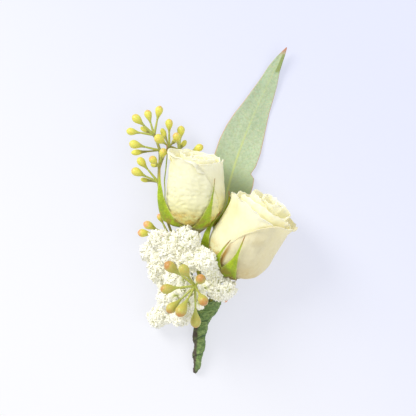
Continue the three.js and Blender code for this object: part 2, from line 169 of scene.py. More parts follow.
def waves(x, y, seed, length, count=14):
    """Smooth irregular waves over (x, y), about 1 high, with crests about length apart."""
    draw = np.random.default_rng(seed)
    total = np.zeros(np.broadcast(x, y).shape)
    for _ in range(count):
        turn = draw.uniform(0, 2 * math.pi)
        number = 2 * math.pi / (length * draw.uniform(0.65, 1.6))
        phase = draw.uniform(0, 2 * math.pi)
        total += np.sin(number * (x * math.cos(turn) + y * math.sin(turn)) + phase)
    return total / math.sqrt(count)


def smoothstep(value, low, high):
    t = np.clip((value - low) / (high - low), 0, 1)
    return t * t * (3 - 2 * t)


def grid_normals(points):
    """Unit normals of a grid of points, rows along and columns across."""
    normals = np.cross(np.gradient(points, axis=1), np.gradient(points, axis=0))
    return normals / np.maximum(np.linalg.norm(normals, axis=2, keepdims=True), 1e-12)


def sheet_faces(rows, columns):
    """Quads of a closed thin sheet: a front grid, a back grid and the rim between them."""
    faces = []
    count = rows * columns

    def at(side, row, column):
        return side * count + row * columns + column

    for row in range(rows - 1):
        for column in range(columns - 1):
            cell = [(row, column), (row, column + 1), (row + 1, column + 1), (row + 1, column)]
            faces.append([at(0, *corner) for corner in cell])
            faces.append([at(1, *corner) for corner in (cell[0], *reversed(cell[1:]))])
    edge = [(0, column) for column in range(columns - 1)]
    edge += [(row, columns - 1) for row in range(rows - 1)]
    edge += [(rows - 1, column) for column in range(columns - 1, 0, -1)]
    edge += [(row, 0) for row in range(rows - 1, 0, -1)]
    for here, there in zip(edge, edge[1:] + edge[:1]):
        faces.append([at(0, *there), at(0, *here), at(1, *here), at(1, *there)])
    return faces


class Shape:
    """Vertices, faces and per-vertex values of a mesh in the making."""

    def __init__(self):
        self.vertices = []
        self.faces = []
        self.values = {}
        self.count = 0

    def add(self, vertices, faces, **values):
        """Adds one closed shell, turned so that its faces point out."""
        vertices = np.asarray(vertices, float).reshape(-1, 3)
        if signed_volume(vertices, faces) < 0:
            faces = [face[::-1] for face in faces]
        self.vertices.append(vertices)
        self.faces += [[self.count + corner for corner in face] for face in faces]
        for name, value in values.items():
            self.values.setdefault(name, []).append(np.broadcast_to(value, len(vertices)))
        self.count += len(vertices)

    def sheet(self, points, thickness, **values):
        """Adds a thin closed sheet round a grid of points. thickness may vary over the grid."""
        rows, columns = points.shape[:2]
        half = 0.5 * np.broadcast_to(thickness, (rows, columns))[..., None] * grid_normals(points)
        both = np.concatenate([(points + half).reshape(-1, 3), (points - half).reshape(-1, 3)])
        doubled = {
            name: np.tile(np.broadcast_to(value, (rows, columns)).reshape(-1), 2)
            for name, value in values.items()
        }
        self.add(both, sheet_faces(rows, columns), **doubled)

    def lathe(self, profile, place, segments=48, **values):
        """Adds a turned shell. profile has (radius, height) rows from pole to pole, place makes points."""
        radius, height = np.asarray(profile, float)[1:-1].T
        turn = np.linspace(0, 2 * math.pi, segments, endpoint=False)
        wide = np.repeat(radius[:, None], segments, 1)
        high = np.repeat(height[:, None], segments, 1)
        grid = place(wide, high, turn + 0 * wide)
        poles = [place(np.zeros(1), np.array([profile[i][1]]), np.zeros(1)) for i in (0, -1)]
        vertices = np.concatenate([grid.reshape(-1, 3), *poles])
        rings = len(radius)
        bottom, top = rings * segments, rings * segments + 1
        faces = []
        for i in range(segments):
            j = (i + 1) % segments
            faces.append([bottom, j, i])
            for start in range(0, (rings - 1) * segments, segments):
                faces.append([start + i, start + j, start + segments + j, start + segments + i])
            faces.append([top, (rings - 1) * segments + i, (rings - 1) * segments + j])
        spread = {
            name: np.concatenate([np.repeat(value[1:-1], segments), value[[0, -1]]])
            for name, value in values.items()
        }
        self.add(vertices, faces, **spread)

    def mesh(self, name):
        mesh = bpy.data.meshes.new(name)
        mesh.from_pydata(np.concatenate(self.vertices).tolist(), [], self.faces)
        for value_name, parts in self.values.items():
            layer = mesh.attributes.new(value_name, "FLOAT", "POINT")
            layer.data.foreach_set("value", np.concatenate(parts).astype(np.float32))
        mesh.shade_smooth()
        mesh.update()
        return mesh


def signed_volume(vertices, faces):
    total = 0.0
    for face in faces:
        a = vertices[face[0]]
        for b, c in zip(face[1:-1], face[2:]):
            total += a @ np.cross(vertices[b], vertices[c])
    return total


def new_object(name, mesh, material=None):
    made = bpy.data.objects.new(name, mesh)
    bpy.context.scene.collection.objects.link(made)
    if material:
        mesh.materials.clear()
        mesh.materials.append(material)
    return made


def keep(piece, slot, *nodes):
    """Hands a finished piece to the frame."""
    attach(piece, "root")
    if nodes:
        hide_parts(*nodes)
    return piece


def merged_copy(node, name):
    """A CAD node's mesh with its triangles joined up."""
    source = bmesh.new()
    source.from_mesh(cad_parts[node].data)
    bmesh.ops.remove_doubles(source, verts=source.verts, dist=2e-6)
    bmesh.ops.dissolve_degenerate(source, dist=1e-6, edges=source.edges)
    mesh = bpy.data.meshes.new(name)
    source.to_mesh(mesh)
    source.free()
    return mesh


# ---------------------------------------------------------------- shader trees


def linear(hex_colour):
    """A linear RGBA colour from an sRGB one."""
    channels = [int(hex_colour[i:i + 2], 16) / 255 for i in (0, 2, 4)]
    return (*[c / 12.92 if c <= 0.04045 else ((c + 0.055) / 1.055) ** 2.4 for c in channels], 1.0)


def add(tree, kind, inputs=None, **settings):
    """Adds a node. Each of inputs is a value for that socket, or another socket to link to it."""
    made = tree.nodes.new(kind)
    for name, value in settings.items():
        setattr(made, name, value)
    for key, value in (inputs or {}).items():
        if isinstance(value, bpy.types.NodeSocket):
            tree.links.new(value, made.inputs[key])
        else:
            made.inputs[key].default_value = value
    return made


def mix(tree, factor, first, second, blend="MIX"):
    made = add(tree, "ShaderNodeMix", {0: factor, 6: first, 7: second}, data_type="RGBA", blend_type=blend)
    return made.outputs[2]


def ramp(tree, value, low, high):
    """0 to 1 as value goes from low to high, smoothly."""
    inputs = {"Value": value, "From Min": low, "From Max": high}
    return add(tree, "ShaderNodeMapRange", inputs, interpolation_type="SMOOTHSTEP").outputs["Result"]


def speckle(tree, scale, detail=3.0, roughness=0.55):
    """A noise factor on object coordinates, in patches of 1/scale metres."""
    place = add(tree, "ShaderNodeTexCoord").outputs["Object"]
    inputs = {"Vector": place, "Scale": scale, "Detail": detail, "Roughness": roughness}
    return add(tree, "ShaderNodeTexNoise", inputs).outputs["Fac"]


def reading(tree, name):
    return add(tree, "ShaderNodeAttribute", attribute_name=name).outputs["Fac"]


def combined(tree, x, y, z):
    return add(tree, "ShaderNodeCombineXYZ", {"X": x, "Y": y, "Z": z}).outputs[0]


def times(tree, first, second, operation="MULTIPLY"):
    return add(tree, "ShaderNodeMath", {0: first, 1: second}, operation=operation).outputs[0]


def shader_group(name, inputs, outputs, fill):
    """A shader node group. inputs are name: default, outputs are name: socket type."""
    group = bpy.data.node_groups.new(name, "ShaderNodeTree")
    for socket, value in inputs.items():
        kind = "NodeSocketColor" if isinstance(value, tuple) else "NodeSocketFloat"
        made = group.interface.new_socket(socket, in_out="INPUT", socket_type=kind)
        made.default_value = value
    for socket, kind in outputs.items():
        group.interface.new_socket(socket, in_out="OUTPUT", socket_type=kind)
    entry = group.nodes.new("NodeGroupInput")
    result = group.nodes.new("NodeGroupOutput")
    for socket, value in fill(group, entry.outputs).items():
        group.links.new(value, result.inputs[socket])
    return group


def living_tissue(group, given):
    """Colour patches, darker pits and fine relief of a plant's skin."""
    patches = speckle(group, given["Patch scale"], detail=4.0)
    colour = mix(group, ramp(group, patches, 0.32, 0.68), given["Colour"], given["Patch colour"])
    fine = speckle(group, given["Grain scale"], detail=2.0, roughness=0.6)
    shade = ramp(group, fine, 0.38, 0.66)
    shaded = mix(group, times(group, shade, given["Grain"]), colour, given["Grain colour"])
    return {"Colour": shaded, "Relief": fine}


def tissue(tree, **values):
    """The living tissue group in a material, with its own values."""
    group = bpy.data.node_groups.get("living tissue") or shader_group(
        "living tissue",
        {
            "Colour": (0.5, 0.5, 0.5, 1.0),
            "Patch colour": (0.5, 0.5, 0.5, 1.0),
            "Patch scale": 120.0,
            "Grain": 0.3,
            "Grain colour": (0.3, 0.3, 0.3, 1.0),
            "Grain scale": 1500.0,
        },
        {"Colour": "NodeSocketColor", "Relief": "NodeSocketFloat"},
        living_tissue,
    )
    made = tree.nodes.new("ShaderNodeGroup")
    made.node_tree = group
    for key, value in values.items():
        socket = made.inputs[key.replace("_", " ").capitalize()]
        if isinstance(value, bpy.types.NodeSocket):
            tree.links.new(value, socket)
        else:
            socket.default_value = value
    return made.outputs


def finished(name, paint):
    """A material whose shader inputs paint(tree) gives, with relief in metres under "Relief"."""
    material = bpy.data.materials.new(name)
    material.use_nodes = True
    tree = material.node_tree
    shader = tree.nodes["Principled BSDF"]
    given = paint(tree)
    relief = given.pop("Relief", None)
    if relief:
        height, distance = relief
        bump = add(tree, "ShaderNodeBump", {"Height": height, "Distance": distance, "Strength": 1.0})
        tree.links.new(bump.outputs["Normal"], shader.inputs["Normal"])
    for key, value in given.items():
        if isinstance(value, bpy.types.NodeSocket):
            tree.links.new(value, shader.inputs[key])
        else:
            shader.inputs[key].default_value = value
    return material


# ---------------------------------------------------------------- finishes


def settings():
    return bpy.context.scene.corsage


def rgba(colour):
    return (*colour, 1.0)


def petal_finish(name, body, foot, rim, margin, stain, foot_end, withered, glow=0.03):
    """A rose petal, green-yellow at its foot, paler at its rim, with side margins of their own colour.

    foot_end is where the foot's colour ends, withered how golden-brown the foot's blotches are, and glow the
    strength of its emission: painted light that stands in for light through the petal and brightens its
    shade.
    """

    def paint(tree):
        along = reading(tree, "along")
        across = reading(tree, "across")
        base = mix(tree, ramp(tree, along, 0.02, foot_end), linear(foot), body)
        base = mix(tree, ramp(tree, along, 0.6, 0.98), base, linear(rim))
        cloud = speckle(tree, 95.0, detail=3.0)
        base = mix(tree, times(tree, ramp(tree, cloud, 0.45, 0.75), 0.5), base, linear(stain))
        wither = times(tree, ramp(tree, speckle(tree, 420.0, 3.0), 0.4, 0.58), ramp(tree, along, 0.34, 0.2))
        base = mix(tree, times(tree, wither, withered), base, linear("cda235"))
        edge = times(tree, ramp(tree, across, 0.9, 0.985), ramp(tree, along, 0.95, 0.6))
        base = mix(tree, edge, base, linear(margin))
        skin = tissue(
            tree, colour=base, patch_colour=base, grain=0.10, grain_colour=linear(stain), grain_scale=2600.0
        )
        streaks = combined(tree, times(tree, across, 46.0), times(tree, along, 7.0), reading(tree, "petal"))
        inputs = {"Vector": streaks, "Scale": 1.0, "Detail": 3.0}
        veins = add(tree, "ShaderNodeTexNoise", inputs).outputs["Fac"]
        marks = times(tree, ramp(tree, veins, 0.5, 0.72), 0.14)
        return {
            "Base Color": mix(tree, marks, skin["Colour"], linear(stain)),
            "Roughness": 0.6,
            # The emission is painted light: it brightens the petal's shaded faces in place of light passing
            # through.
            "Emission Color": skin["Colour"],
            "Emission Strength": glow,
            "Subsurface Weight": 0.35,
            "Subsurface Radius": (1.0, 0.9, 0.6),
            "Subsurface Scale": 0.0022,
            "Sheen Weight": 0.12,
            "Relief": (veins, 0.00012),
        }

    return finished(name, paint)


def sepal_finish():
    def paint(tree):
        along = reading(tree, "along")
        across = reading(tree, "across")
        chosen = settings().colours
        base = mix(tree, ramp(tree, along, 0.05, 0.5), rgba(chosen.hip), rgba(chosen.sepal))
        base = mix(tree, times(tree, ramp(tree, across, 0.7, 0.98), 0.7), base, linear("d9dc7c"))
        base = mix(tree, ramp(tree, along, 0.82, 1.0), base, linear("a8643c"))
        dark = times(tree, ramp(tree, speckle(tree, 170.0, 3.0), 0.4, 0.62), 0.6)
        base = mix(tree, dark, base, linear("86a01c"))
        skin = tissue(
            tree, colour=base, patch_colour=base, grain=0.35, grain_colour=linear("6a7c12"),
            grain_scale=1500.0,
        )
        scar = times(tree, ramp(tree, speckle(tree, 300.0, 3.0), 0.44, 0.56), ramp(tree, along, 0.6, 0.38))
        scarred = mix(tree, times(tree, scar, 0.7), skin["Colour"], linear("9c7a38"))
        return {"Base Color": scarred, "Roughness": 0.45, "Subsurface Weight": 0.1, "Subsurface Scale": 0.001,
                "Relief": (skin["Relief"], 0.0001)}

    return finished("rose calyx green", paint)


def leaf_finish():
    def paint(tree):
        along = reading(tree, "along")
        across = reading(tree, "across")
        vein = reading(tree, "vein")
        chosen = settings().colours
        skin = tissue(
            tree, colour=rgba(chosen.leaf), patch_colour=linear("b0c09a"), patch_scale=60.0, grain=0.45,
            grain_colour=linear("94a679"), grain_scale=1100.0,
        )
        # Painted shade: the lower blade, which runs in under the roses, is darker.
        low = mix(tree, ramp(tree, along, 0.62, 0.4), skin["Colour"], linear("a2b389"))
        base = mix(tree, vein, low, linear("c6d084"))
        base = mix(tree, ramp(tree, across, 0.95, 0.99), base, linear("cba98a"))
        base = mix(tree, reading(tree, "bruise"), base, linear("8b9a58"))
        base = mix(tree, ramp(tree, along, 0.965, 1.0), base, linear("c07a5c"))
        return {"Base Color": base, "Roughness": 0.52, "Subsurface Weight": 0.12, "Subsurface Scale": 0.0008,
                "Relief": (skin["Relief"], 0.00008)}

    return finished("eucalyptus leaf", paint)


def bud_finish(name, body, tip):
    """Bud skin: green at the stalk, yellow where it swells and orange-red on the cap, by how ripe it is."""

    def paint(tree):
        ripeness = reading(tree, "ripeness")
        share = reading(tree, "share")
        base = mix(tree, ramp(tree, share, 0.05, 0.6), linear("b6bd58"), body)
        flush = times(tree, times(tree, speckle(tree, 330.0, 2.0), 0.9), times(tree, ripeness, 0.62), "ADD")
        reach = times(tree, share, flush)
        base = mix(tree, times(tree, ramp(tree, reach, 0.62, 0.98), 0.92), base, tip)
        skin = tissue(
            tree, colour=base, patch_colour=base, grain=0.16, grain_colour=linear("96802c"),
            grain_scale=2400.0,
        )
        return {"Base Color": skin["Colour"], "Roughness": 0.38, "Subsurface Weight": 0.15,
                "Subsurface Scale": 0.0012, "Coat Weight": 0.12, "Coat Roughness": 0.3,
                "Relief": (skin["Relief"], 0.00007)}

    return finished(name, paint)


def twig_finish(name, colour, patch, grain):
    """Bark of thin stems. Where a stem carries an unripe bud it is plump, and takes the bud's colour."""

    def paint(tree):
        skin = tissue(tree, colour=linear(colour), patch_colour=linear(patch), patch_scale=260.0, grain=0.35,
                      grain_colour=linear(grain), grain_scale=1900.0)
        base = mix(tree, reading(tree, "plump"), skin["Colour"], rgba(settings().colours.bud))
        return {"Base Color": base, "Roughness": 0.6, "Relief": (skin["Relief"], 0.00012)}

    return finished(name, paint)


def floret_finish():
    def paint(tree):
        share = reading(tree, "share")
        # Painted shade: the petals turn green-yellow towards their claws, deep in each floret where they
        # crowd.
        base = mix(tree, ramp(tree, share, 0.1, 0.72), linear("c9cf78"), rgba(settings().colours.floret))
        blemish = times(tree, ramp(tree, speckle(tree, 260.0, 2.0), 0.66, 0.78), ramp(tree, share, 0.6, 1.0))
        base = mix(tree, times(tree, blemish, 0.5), base, linear("c9ae90"))
        # The emission is painted light that brightens the florets where they shade one another.
        return {"Base Color": base, "Roughness": 0.8, "Emission Color": base, "Emission Strength": 0.07}

    return finished("baby's breath petal", paint)


def tape_finish():
    def paint(tree):
        chosen = settings().colours
        fold_shade = reading(tree, "fold_shade")
        skin = tissue(
            tree, colour=rgba(chosen.tape), patch_colour=linear("90a65c"), patch_scale=420.0, grain=0.6,
            grain_colour=linear("3a562a"), grain_scale=900.0,
        )
        # Painted shade: darker under each turn's lapped edge and in the deepest crinkles.
        base = mix(tree, fold_shade, skin["Colour"], linear("2c4a2c"))
        base = mix(tree, reading(tree, "soil"), base, linear("4a4030"))
        return {"Base Color": base, "Roughness": 0.62, "Relief": (skin["Relief"], 0.0002)}

    return finished("floral tape", paint)


def wire_finish():
    def paint(tree):
        enamel = mix(tree, speckle(tree, 900.0), linear("5c6b4a"), linear("3e4a34"))
        return {"Base Color": enamel, "Roughness": 0.45, "Metallic": 0.2}

    return finished("enamelled wire", paint)


# ---------------------------------------------------------------- sizes and colours that a user would change


def tint(name, description, hex_colour):
    """A colour property."""
    return FloatVectorProperty(
        name=name, description=description, subtype="COLOR", size=3, min=0.0, max=1.0,
        default=linear(hex_colour)[:3],
    )


def length(name, description, default, least):
    """A length property, with its default and its least value in metres."""
    return FloatProperty(
        name=name, description=description, default=default, min=least, unit="LENGTH", precision=5
    )


class CorsageColours(bpy.types.PropertyGroup):
    petal: tint("Petal", "Body colour of the fresh petals", "f4efbe")
    aged_petal: tint("Aged petal", "Body colour of the outermost petal of the tilted rose", "f0e4b2")
    sepal: tint("Sepal", "Blade colour of the sepals", "acc41e")
    hip: tint("Hip", "Colour of the hip under each rose", "a7a134")
    leaf: tint("Leaf", "Colour of the eucalyptus leaf", "bccaa6")
    bud: tint("Bud", "Colour of the swollen part of a flower bud", "e3dd5c")
    ripe_bud: tint("Ripe bud", "Colour of the riper front buds", "c6be58")
    floret: tint("Baby's breath", "Colour of the small petals", "fbf9e6")
    tape: tint("Tape", "Colour of the floral tape", "6e8d45")
    floor: tint("Floor", "Colour of the light table", "8e8e90")
    near_glow: tint("Near glow", "Light from the table, low on the left", "d0d0d0")
    far_glow: tint("Far glow", "Light from the table, high on the right", "b8bcd2")


class CorsageSizes(bpy.types.PropertyGroup):
    petal: length("Petal thickness", "Thickness of a rose petal", 0.28 * MM, 0.05 * MM)
    leaf: length("Leaf thickness", "Thickness of the eucalyptus leaf", 0.45 * MM, 0.05 * MM)
    floret: length("Floret petal", "Length of a baby's breath petal", 4.3 * MM, 0.5 * MM)
    floret_petals: IntProperty(name="Petals per floret", description="Petals in one baby's breath flower",
                               default=22, min=5, max=80)
    tape_width: length("Tape lap", "Distance between the edges of the tape's turns", 7.5 * MM, 1 * MM)


class CorsageSettings(bpy.types.PropertyGroup):
    colours: PointerProperty(type=CorsageColours, name="Colours", description="Colours of the finishes")
    sizes: PointerProperty(type=CorsageSizes, name="Sizes", description="Sizes that the frame leaves open")


# ---------------------------------------------------------------- rose petals

# An outer petal is the CAD petal it stands for, its place on the shell, and its outline:
#   scale  how far out it lies on the shell
#   left, right  where its side margins are at the foot, the middle and the rim, in degrees from the top side
#   rim  heights of the rim from the left margin to the right, in radii
#   roll  how far the rim rolls outwards, in degrees, from the left margin to the right
#   curl  radius of that roll in mm
#   creases  size in mm of the wavy creases on its face
#   flare  how far in mm the rim leans out from the shell, from the left margin to the right
#   crumple  size in mm of the crumples near its rim
OUTER_PETALS = {
    "upright": [
        dict(scale=1.0, left=(-70, -104, -104), right=(58, 50, 2), rim=(1.16, 1.3, 1.27, 1.2, 0.98),
             roll=(110, 120, 130, 120, 40), curl=0.7, creases=0.42),
        dict(scale=0.955, left=(0, -14, -22), right=(92, 116, 108), rim=(1.06, 1.12, 1.13, 1.1, 1.16),
             roll=(60, 60, 70, 60, 40), curl=0.6, creases=0.14, flare=(0, 0, 0, 0.3, 1.2)),
        dict(scale=0.91, left=(80, 72, 66), right=(190, 205, 205), rim=(1.1, 1.2, 1.22, 1.25, 1.2),
             roll=(40, 30, 30, 30, 20), curl=0.8, creases=0.1),
        dict(scale=0.875, left=(150, 140, 140), right=(262, 282, 286), rim=(1.25, 1.35, 1.46, 1.54, 1.46),
             roll=(10, 20, 20, 30, 30), curl=0.8, creases=0.1, flare=(0, 0, 0.6, 1.8, 2.0)),
        dict(scale=0.84, left=(-110, -128, -134), right=(10, 22, 24), rim=(1.44, 1.52, 1.46, 1.38, 1.28),
             roll=(30, 20, 10, 10, 10), curl=0.8, creases=0.1, flare=(1.6, 2.2, 1.0, 0, 0), crumple=0.36),
    ],
    "tilted": [
        dict(scale=1.0, left=(-14, -20, -20), right=(140, 158, 158), rim=(0.0, 0.92, 1.02, 1.05, 1.06),
             roll=(60, 90, 80, 30, 20), curl=0.9, creases=0.22),
        dict(scale=0.955, left=(-100, -124, -96), right=(20, 36, 40), rim=(0.96, 1.06, 1.12, 1.03, 1.0),
             roll=(30, 40, 80, 90, 40), curl=0.9, creases=0.07, flare=(1.8, 1.2, 0.1, 0, 0)),
        dict(scale=0.9, left=(90, 84, 80), right=(205, 222, 224), rim=(1.0, 1.06, 1.08, 1.1, 1.06),
             roll=(10, 10, 20, 30, 30), curl=0.9, creases=0.1),
        dict(scale=0.88, left=(170, 158, 156), right=(270, 285, 285), rim=(1.04, 1.08, 1.1, 1.12, 1.02),
             roll=(30, 30, 20, 30, 40), curl=0.9, creases=0.1),
        dict(scale=0.87, left=(-20, -34, -44), right=(86, 104, 110), rim=(1.04, 1.24, 1.35, 1.34, 1.18),
             roll=(10, 30, 40, 40, 20), curl=0.9, creases=0.14, flare=(-1.0, -2.1, -2.7, -2.2, -0.9),
             crumple=0.42),
    ],
}
INNER_PETALS = {"upright": 6, "tilted": 5}
INNER_CREST = {"upright": 1.22, "tilted": 1.14}  # heights in radii of the inner petals' rims
INNER_LIFT = {"upright": 0.85, "tilted": 1.3}  # how fully the innermost are lifted back level with the rest
INNER_SLOPE = {"upright": 0.14, "tilted": 0.0}  # how much lower they are on the right, in radii
PETAL_ROWS = 96
PETAL_COLUMNS = 72
PETAL_FOOT = 0.1  # share of the way up the shell where a petal starts
ROLL_START = 0.84  # share of a petal's length where its rim starts to roll
FRESH_TONES = ("d2c95c", "faf6d8", "e2da9a", "dcd48c")  # foot, rim, margin and stain
AGED_TONES = ("e0cd96", "f2e8b8", "c08a34", "ccb67c")
FOOT_END = {"upright": 0.56, "tilted": 0.3}
WITHERED = 0.8
# Emission of the inner petals' finish: painted light that brightens the faces that other petals shade.
INNER_PAINTED_GLOW = 0.14
FRONT_PETALS = 2  # these stand in front; the rest take the inner petals' finish, with its stronger painted glow


def rose_petal(rose, spec, seed, rows=PETAL_ROWS, columns=PETAL_COLUMNS):
    """The grid of points of one petal, foot to rim and left margin to right."""
    across, along = np.meshgrid(np.linspace(-1, 1, columns), np.linspace(0, 1, rows))
    left, right = (spread_values(2 * along - 1, np.radians(spec[side])) for side in ("left", "right"))
    turn = 0.5 * (left + right) + 0.5 * across * (right - left)
    arc = turn * rose.radius

    rim_height = spread_values(across, spec["rim"])
    rim_height = rim_height - 0.2 * np.abs(across) ** 7
    rim_height = rim_height + spec.get("ragged", 0.016) * waves(arc, 0 * arc, seed, 4.5 * MM)
    rim = rose.share_at(rim_height)
    up = np.minimum(along / ROLL_START, 1.0)
    share = PETAL_FOOT + (rim - PETAL_FOOT) * up
    radius, height = rose.shell(share)

    # Past ROLL_START the petal leaves the shell and rolls outwards round a small arc.
    step = 0.004
    radius_below, height_below = rose.shell(rim - step)
    rise = np.stack([rose.shell(rim)[0] - radius_below, rose.shell(rim)[1] - height_below])
    rise = rise / np.maximum(np.linalg.norm(rise, axis=0), 1e-9)
    rolled = np.clip((along - ROLL_START) / (1 - ROLL_START), 0, 1)
    angle = np.radians(spread_values(across, spec["roll"])) * rolled
    curl = spec["curl"] * MM * (1 + 0.25 * waves(arc, 0 * arc, seed + 1, 9 * MM))
    radius = spec["scale"] * radius + curl * (np.sin(angle) * rise[0] + (1 - np.cos(angle)) * rise[1])
    height = spec["scale"] * height + curl * (np.sin(angle) * rise[1] - (1 - np.cos(angle)) * rise[0])
    radius = radius + MM * spread_values(across, spec.get("flare", (0, 0))) * smoothstep(along, 0.35, 1.0)

    points = rose.place(radius, height, turn)
    # Creases run across the face, and the rim is crumpled.
    face = smoothstep(along, 0.05, 0.25) * (1 - smoothstep(along, 0.45, 0.8))
    creases = spec["creases"] * MM * face * np.abs(waves(0.62 * arc, height, seed + 2, 2.6 * MM, 24))
    slack = 0.22 * MM * smoothstep(along, 0.2, 0.8) * waves(arc, height, seed + 3, 9 * MM)
    crumple = spec.get("crumple", 0.2) * MM * smoothstep(along, 0.66, 0.95)
    crumple = crumple * waves(arc, height, seed + 4, 3.6 * MM)
    return points + (slack - creases + crumple)[..., None] * grid_normals(points), along, across


def petal_values(along, across, seed):
    """What a petal's finish reads: how far up it, how near a side margin, and which petal it is."""
    return {"along": along, "across": np.abs(across), "petal": float(seed % 97)}


def rose_petals(name):
    rose = RoseFrame(name)
    chosen = settings()
    look = (rgba(chosen.colours.petal), *FRESH_TONES, FOOT_END[name], WITHERED)
    fresh = petal_finish(f"rose petal {name}", *look)
    # The inner petals' finish gives off more painted light, to brighten faces that the other petals shade.
    young = petal_finish(f"inner petal {name}", *look, glow=INNER_PAINTED_GLOW)
    finishes = [fresh] * FRONT_PETALS + [young] * (len(OUTER_PETALS[name]) - FRONT_PETALS)
    if name == "tilted":
        finishes[0] = petal_finish("aged petal", rgba(chosen.colours.aged_petal), *AGED_TONES, 0.56, 0.3)
    for number, spec in enumerate(OUTER_PETALS[name], 1):
        seed = 100 * number + (7 if name == "upright" else 19)
        shape = Shape()
        points, along, across = rose_petal(rose, spec, seed)
        shape.sheet(points, chosen.sizes.petal, **petal_values(along, across, seed))
        title = f"rose_{name}_outer_petal_{number}"
        piece = new_object(title, shape.mesh(title), finishes[number - 1])
        keep(piece, "petal", f"rose_{name}_petal_{number}")

    inner = Shape()
    count = INNER_PETALS[name]
    for number in range(count):
        depth = number / (count - 1)
        turn = math.degrees(number * GOLDEN_ANGLE)
        reach = 78 + 24 * depth
        crest = INNER_CREST[name] - INNER_SLOPE[name] * math.sin(number * GOLDEN_ANGLE)
        spec = dict(
            scale=0.8 - 0.58 * depth,
            left=(turn - 0.8 * reach, turn - reach, turn - reach),
            right=(turn + 0.8 * reach, turn + reach, turn + reach),
            rim=(crest - 0.04, crest + 0.02, crest + 0.04, crest + 0.01, crest - 0.04),
            roll=(10, 30, 40, 30, 10), curl=0.8, creases=0.12, ragged=0.014, crumple=0.36,
        )
        seed = 1000 + 10 * number + len(name)
        points, along, across = rose_petal(rose, spec, seed, rows=44, columns=48)
        # Nested shells shrink towards the centre, so the inner ones are lifted to keep their rims in view.
        lift = (1 - spec["scale"]) * INNER_LIFT[name] * crest * rose.radius * smoothstep(along, 0.0, 1.0)
        points = points + lift[..., None] * rose.up
        inner.sheet(points, chosen.sizes.petal, **petal_values(along, across, seed))
    title = f"rose_{name}_inner_petals"
    keep(new_object(title, inner.mesh(title), young), "petal", f"rose_{name}_heart")


# ---------------------------------------------------------------- hips and sepals

# Each sepal is its turn, length up the shell, half width in mm, flare away from the petals, sideways sweep in
# degrees, twist of the blade in degrees, and the share of its length where its broad part ends.
SEPALS = {
    "upright": [
        (-70, 0.68, 4.0, 0.34, -4, -50, 1.02),
        (15, 0.64, 4.2, 0.02, 24, 0, 0.8),
        (78, 0.5, 4.4, 0.1, 0, 36, 1.02),
        (150, 0.4, 2.2, 0.0, 0, 0, 1.02),
        (-110, 0.84, 2.2, 0.2, 0, -20, 1.02),
    ],
    "tilted": [
        (9, 0.57, 5.6, 0.07, -14, 0, 0.82),
        (-27, 0.47, 6.6, 0.06, 7, 0, 0.76),
        (-74, 0.56, 3.6, 0.08, -4, -58, 1.02),
        (-146, 0.38, 2.2, 0.0, 0, 0, 1.02),
        (112, 0.34, 2.2, 0.02, 0, 0, 1.02),
    ],
}
HIP_TOP = -1.2  # in radii, as is the profile, whose neck sheathes the end of the stem
HIP_PROFILE = [
    (0, -0.46), (0.09, -0.46), (0.1, -0.42), (0.11, -0.36), (0.13, -0.31), (0.16, -0.26), (0.21, -0.2),
    (0.29, -0.14), (0.36, -0.08), (0.42, -0.02), (0.47, 0.05), (0.5, 0.12), (0.48, 0.16), (0.4, 0.14),
    (0.25, 0.1), (0, 0.08),
]
SEPAL_START = 0.05  # share of the way up the shell
SKIRT = 0.3  # how much wider a sepal is where it joins the next, in radii


def calyx_skin(name):
    rose = RoseFrame(name)
    shape = Shape()
    profile = np.array(HIP_PROFILE)
    steps = np.linspace(-1, 1, len(profile))
    fine = np.linspace(-1, 1, 5 * len(profile))
    radius = np.maximum(smooth_line(fine, steps, profile[:, 0]), 0) * rose.radius
    height = (HIP_TOP + smooth_line(fine, steps, profile[:, 1])) * rose.radius

    def on_axis(r, h, turn):
        ribbed = r * (1 + 0.05 * np.cos(5 * turn)) + 0.12 * MM * waves(turn * r, h, 5, 2.5 * MM)
        return rose.place(np.where(r > 0, np.maximum(ribbed, 0), 0), h, turn)

    shape.lathe(np.stack([radius, height], 1), on_axis, along=0 * radius, across=0 * radius)
    for number, (turn, length, half_width, flare, sweep, twist, broad) in enumerate(SEPALS[name]):
        across, along = np.meshgrid(np.linspace(-1, 1, 17), np.linspace(0, 1, 56))
        share = SEPAL_START + length * along
        scale = 1.035 + flare * along**1.5 + 0.02 * np.sin(3 * math.pi * along)
        radius, height = rose.shell(share)
        radius = np.maximum(radius, 0.3 * rose.radius) * scale
        outline = 0.76 * (1 - smoothstep(along, 0.1, broad)) + 0.24 * (1 - along)
        skirt = SKIRT * rose.radius * (1 - smoothstep(along, 0.0, 0.24))
        wide = half_width * MM * np.maximum(outline, 0.0) + skirt + 0.12 * MM
        lean = math.radians(turn) + math.radians(sweep) * along**1.6
        bend = math.radians(twist) * smoothstep(along, 0.05, 0.35)
        points = rose.place(radius, height * scale, lean + across * wide * np.cos(bend) / radius)
        out = np.sin(lean)[..., None] * rose.side + np.cos(lean)[..., None] * rose.front
        points = points + (across * wide * np.sin(bend))[..., None] * out
        keel = 0.75 * MM * (1 - np.abs(across)) * (1 - along) + 0.5 * MM * across**2 * np.sin(math.pi * along)
        rough = 0.2 * MM * waves(across * wide, along * 20 * MM, number, 4 * MM)
        normals = grid_normals(points)
        out = np.sign((normals * (points - rose.centre)).sum(axis=2, keepdims=True))
        points = points + (keel + rough)[..., None] * normals * out
        thickness = 0.34 * MM * (1 - 0.55 * np.abs(across))
        shape.sheet(points, thickness, along=0.12 + 0.88 * along, across=np.abs(across))
    title = f"rose_{name}_hip_and_sepals"
    return new_object(title, shape.mesh(title))


# ---------------------------------------------------------------- the leaf


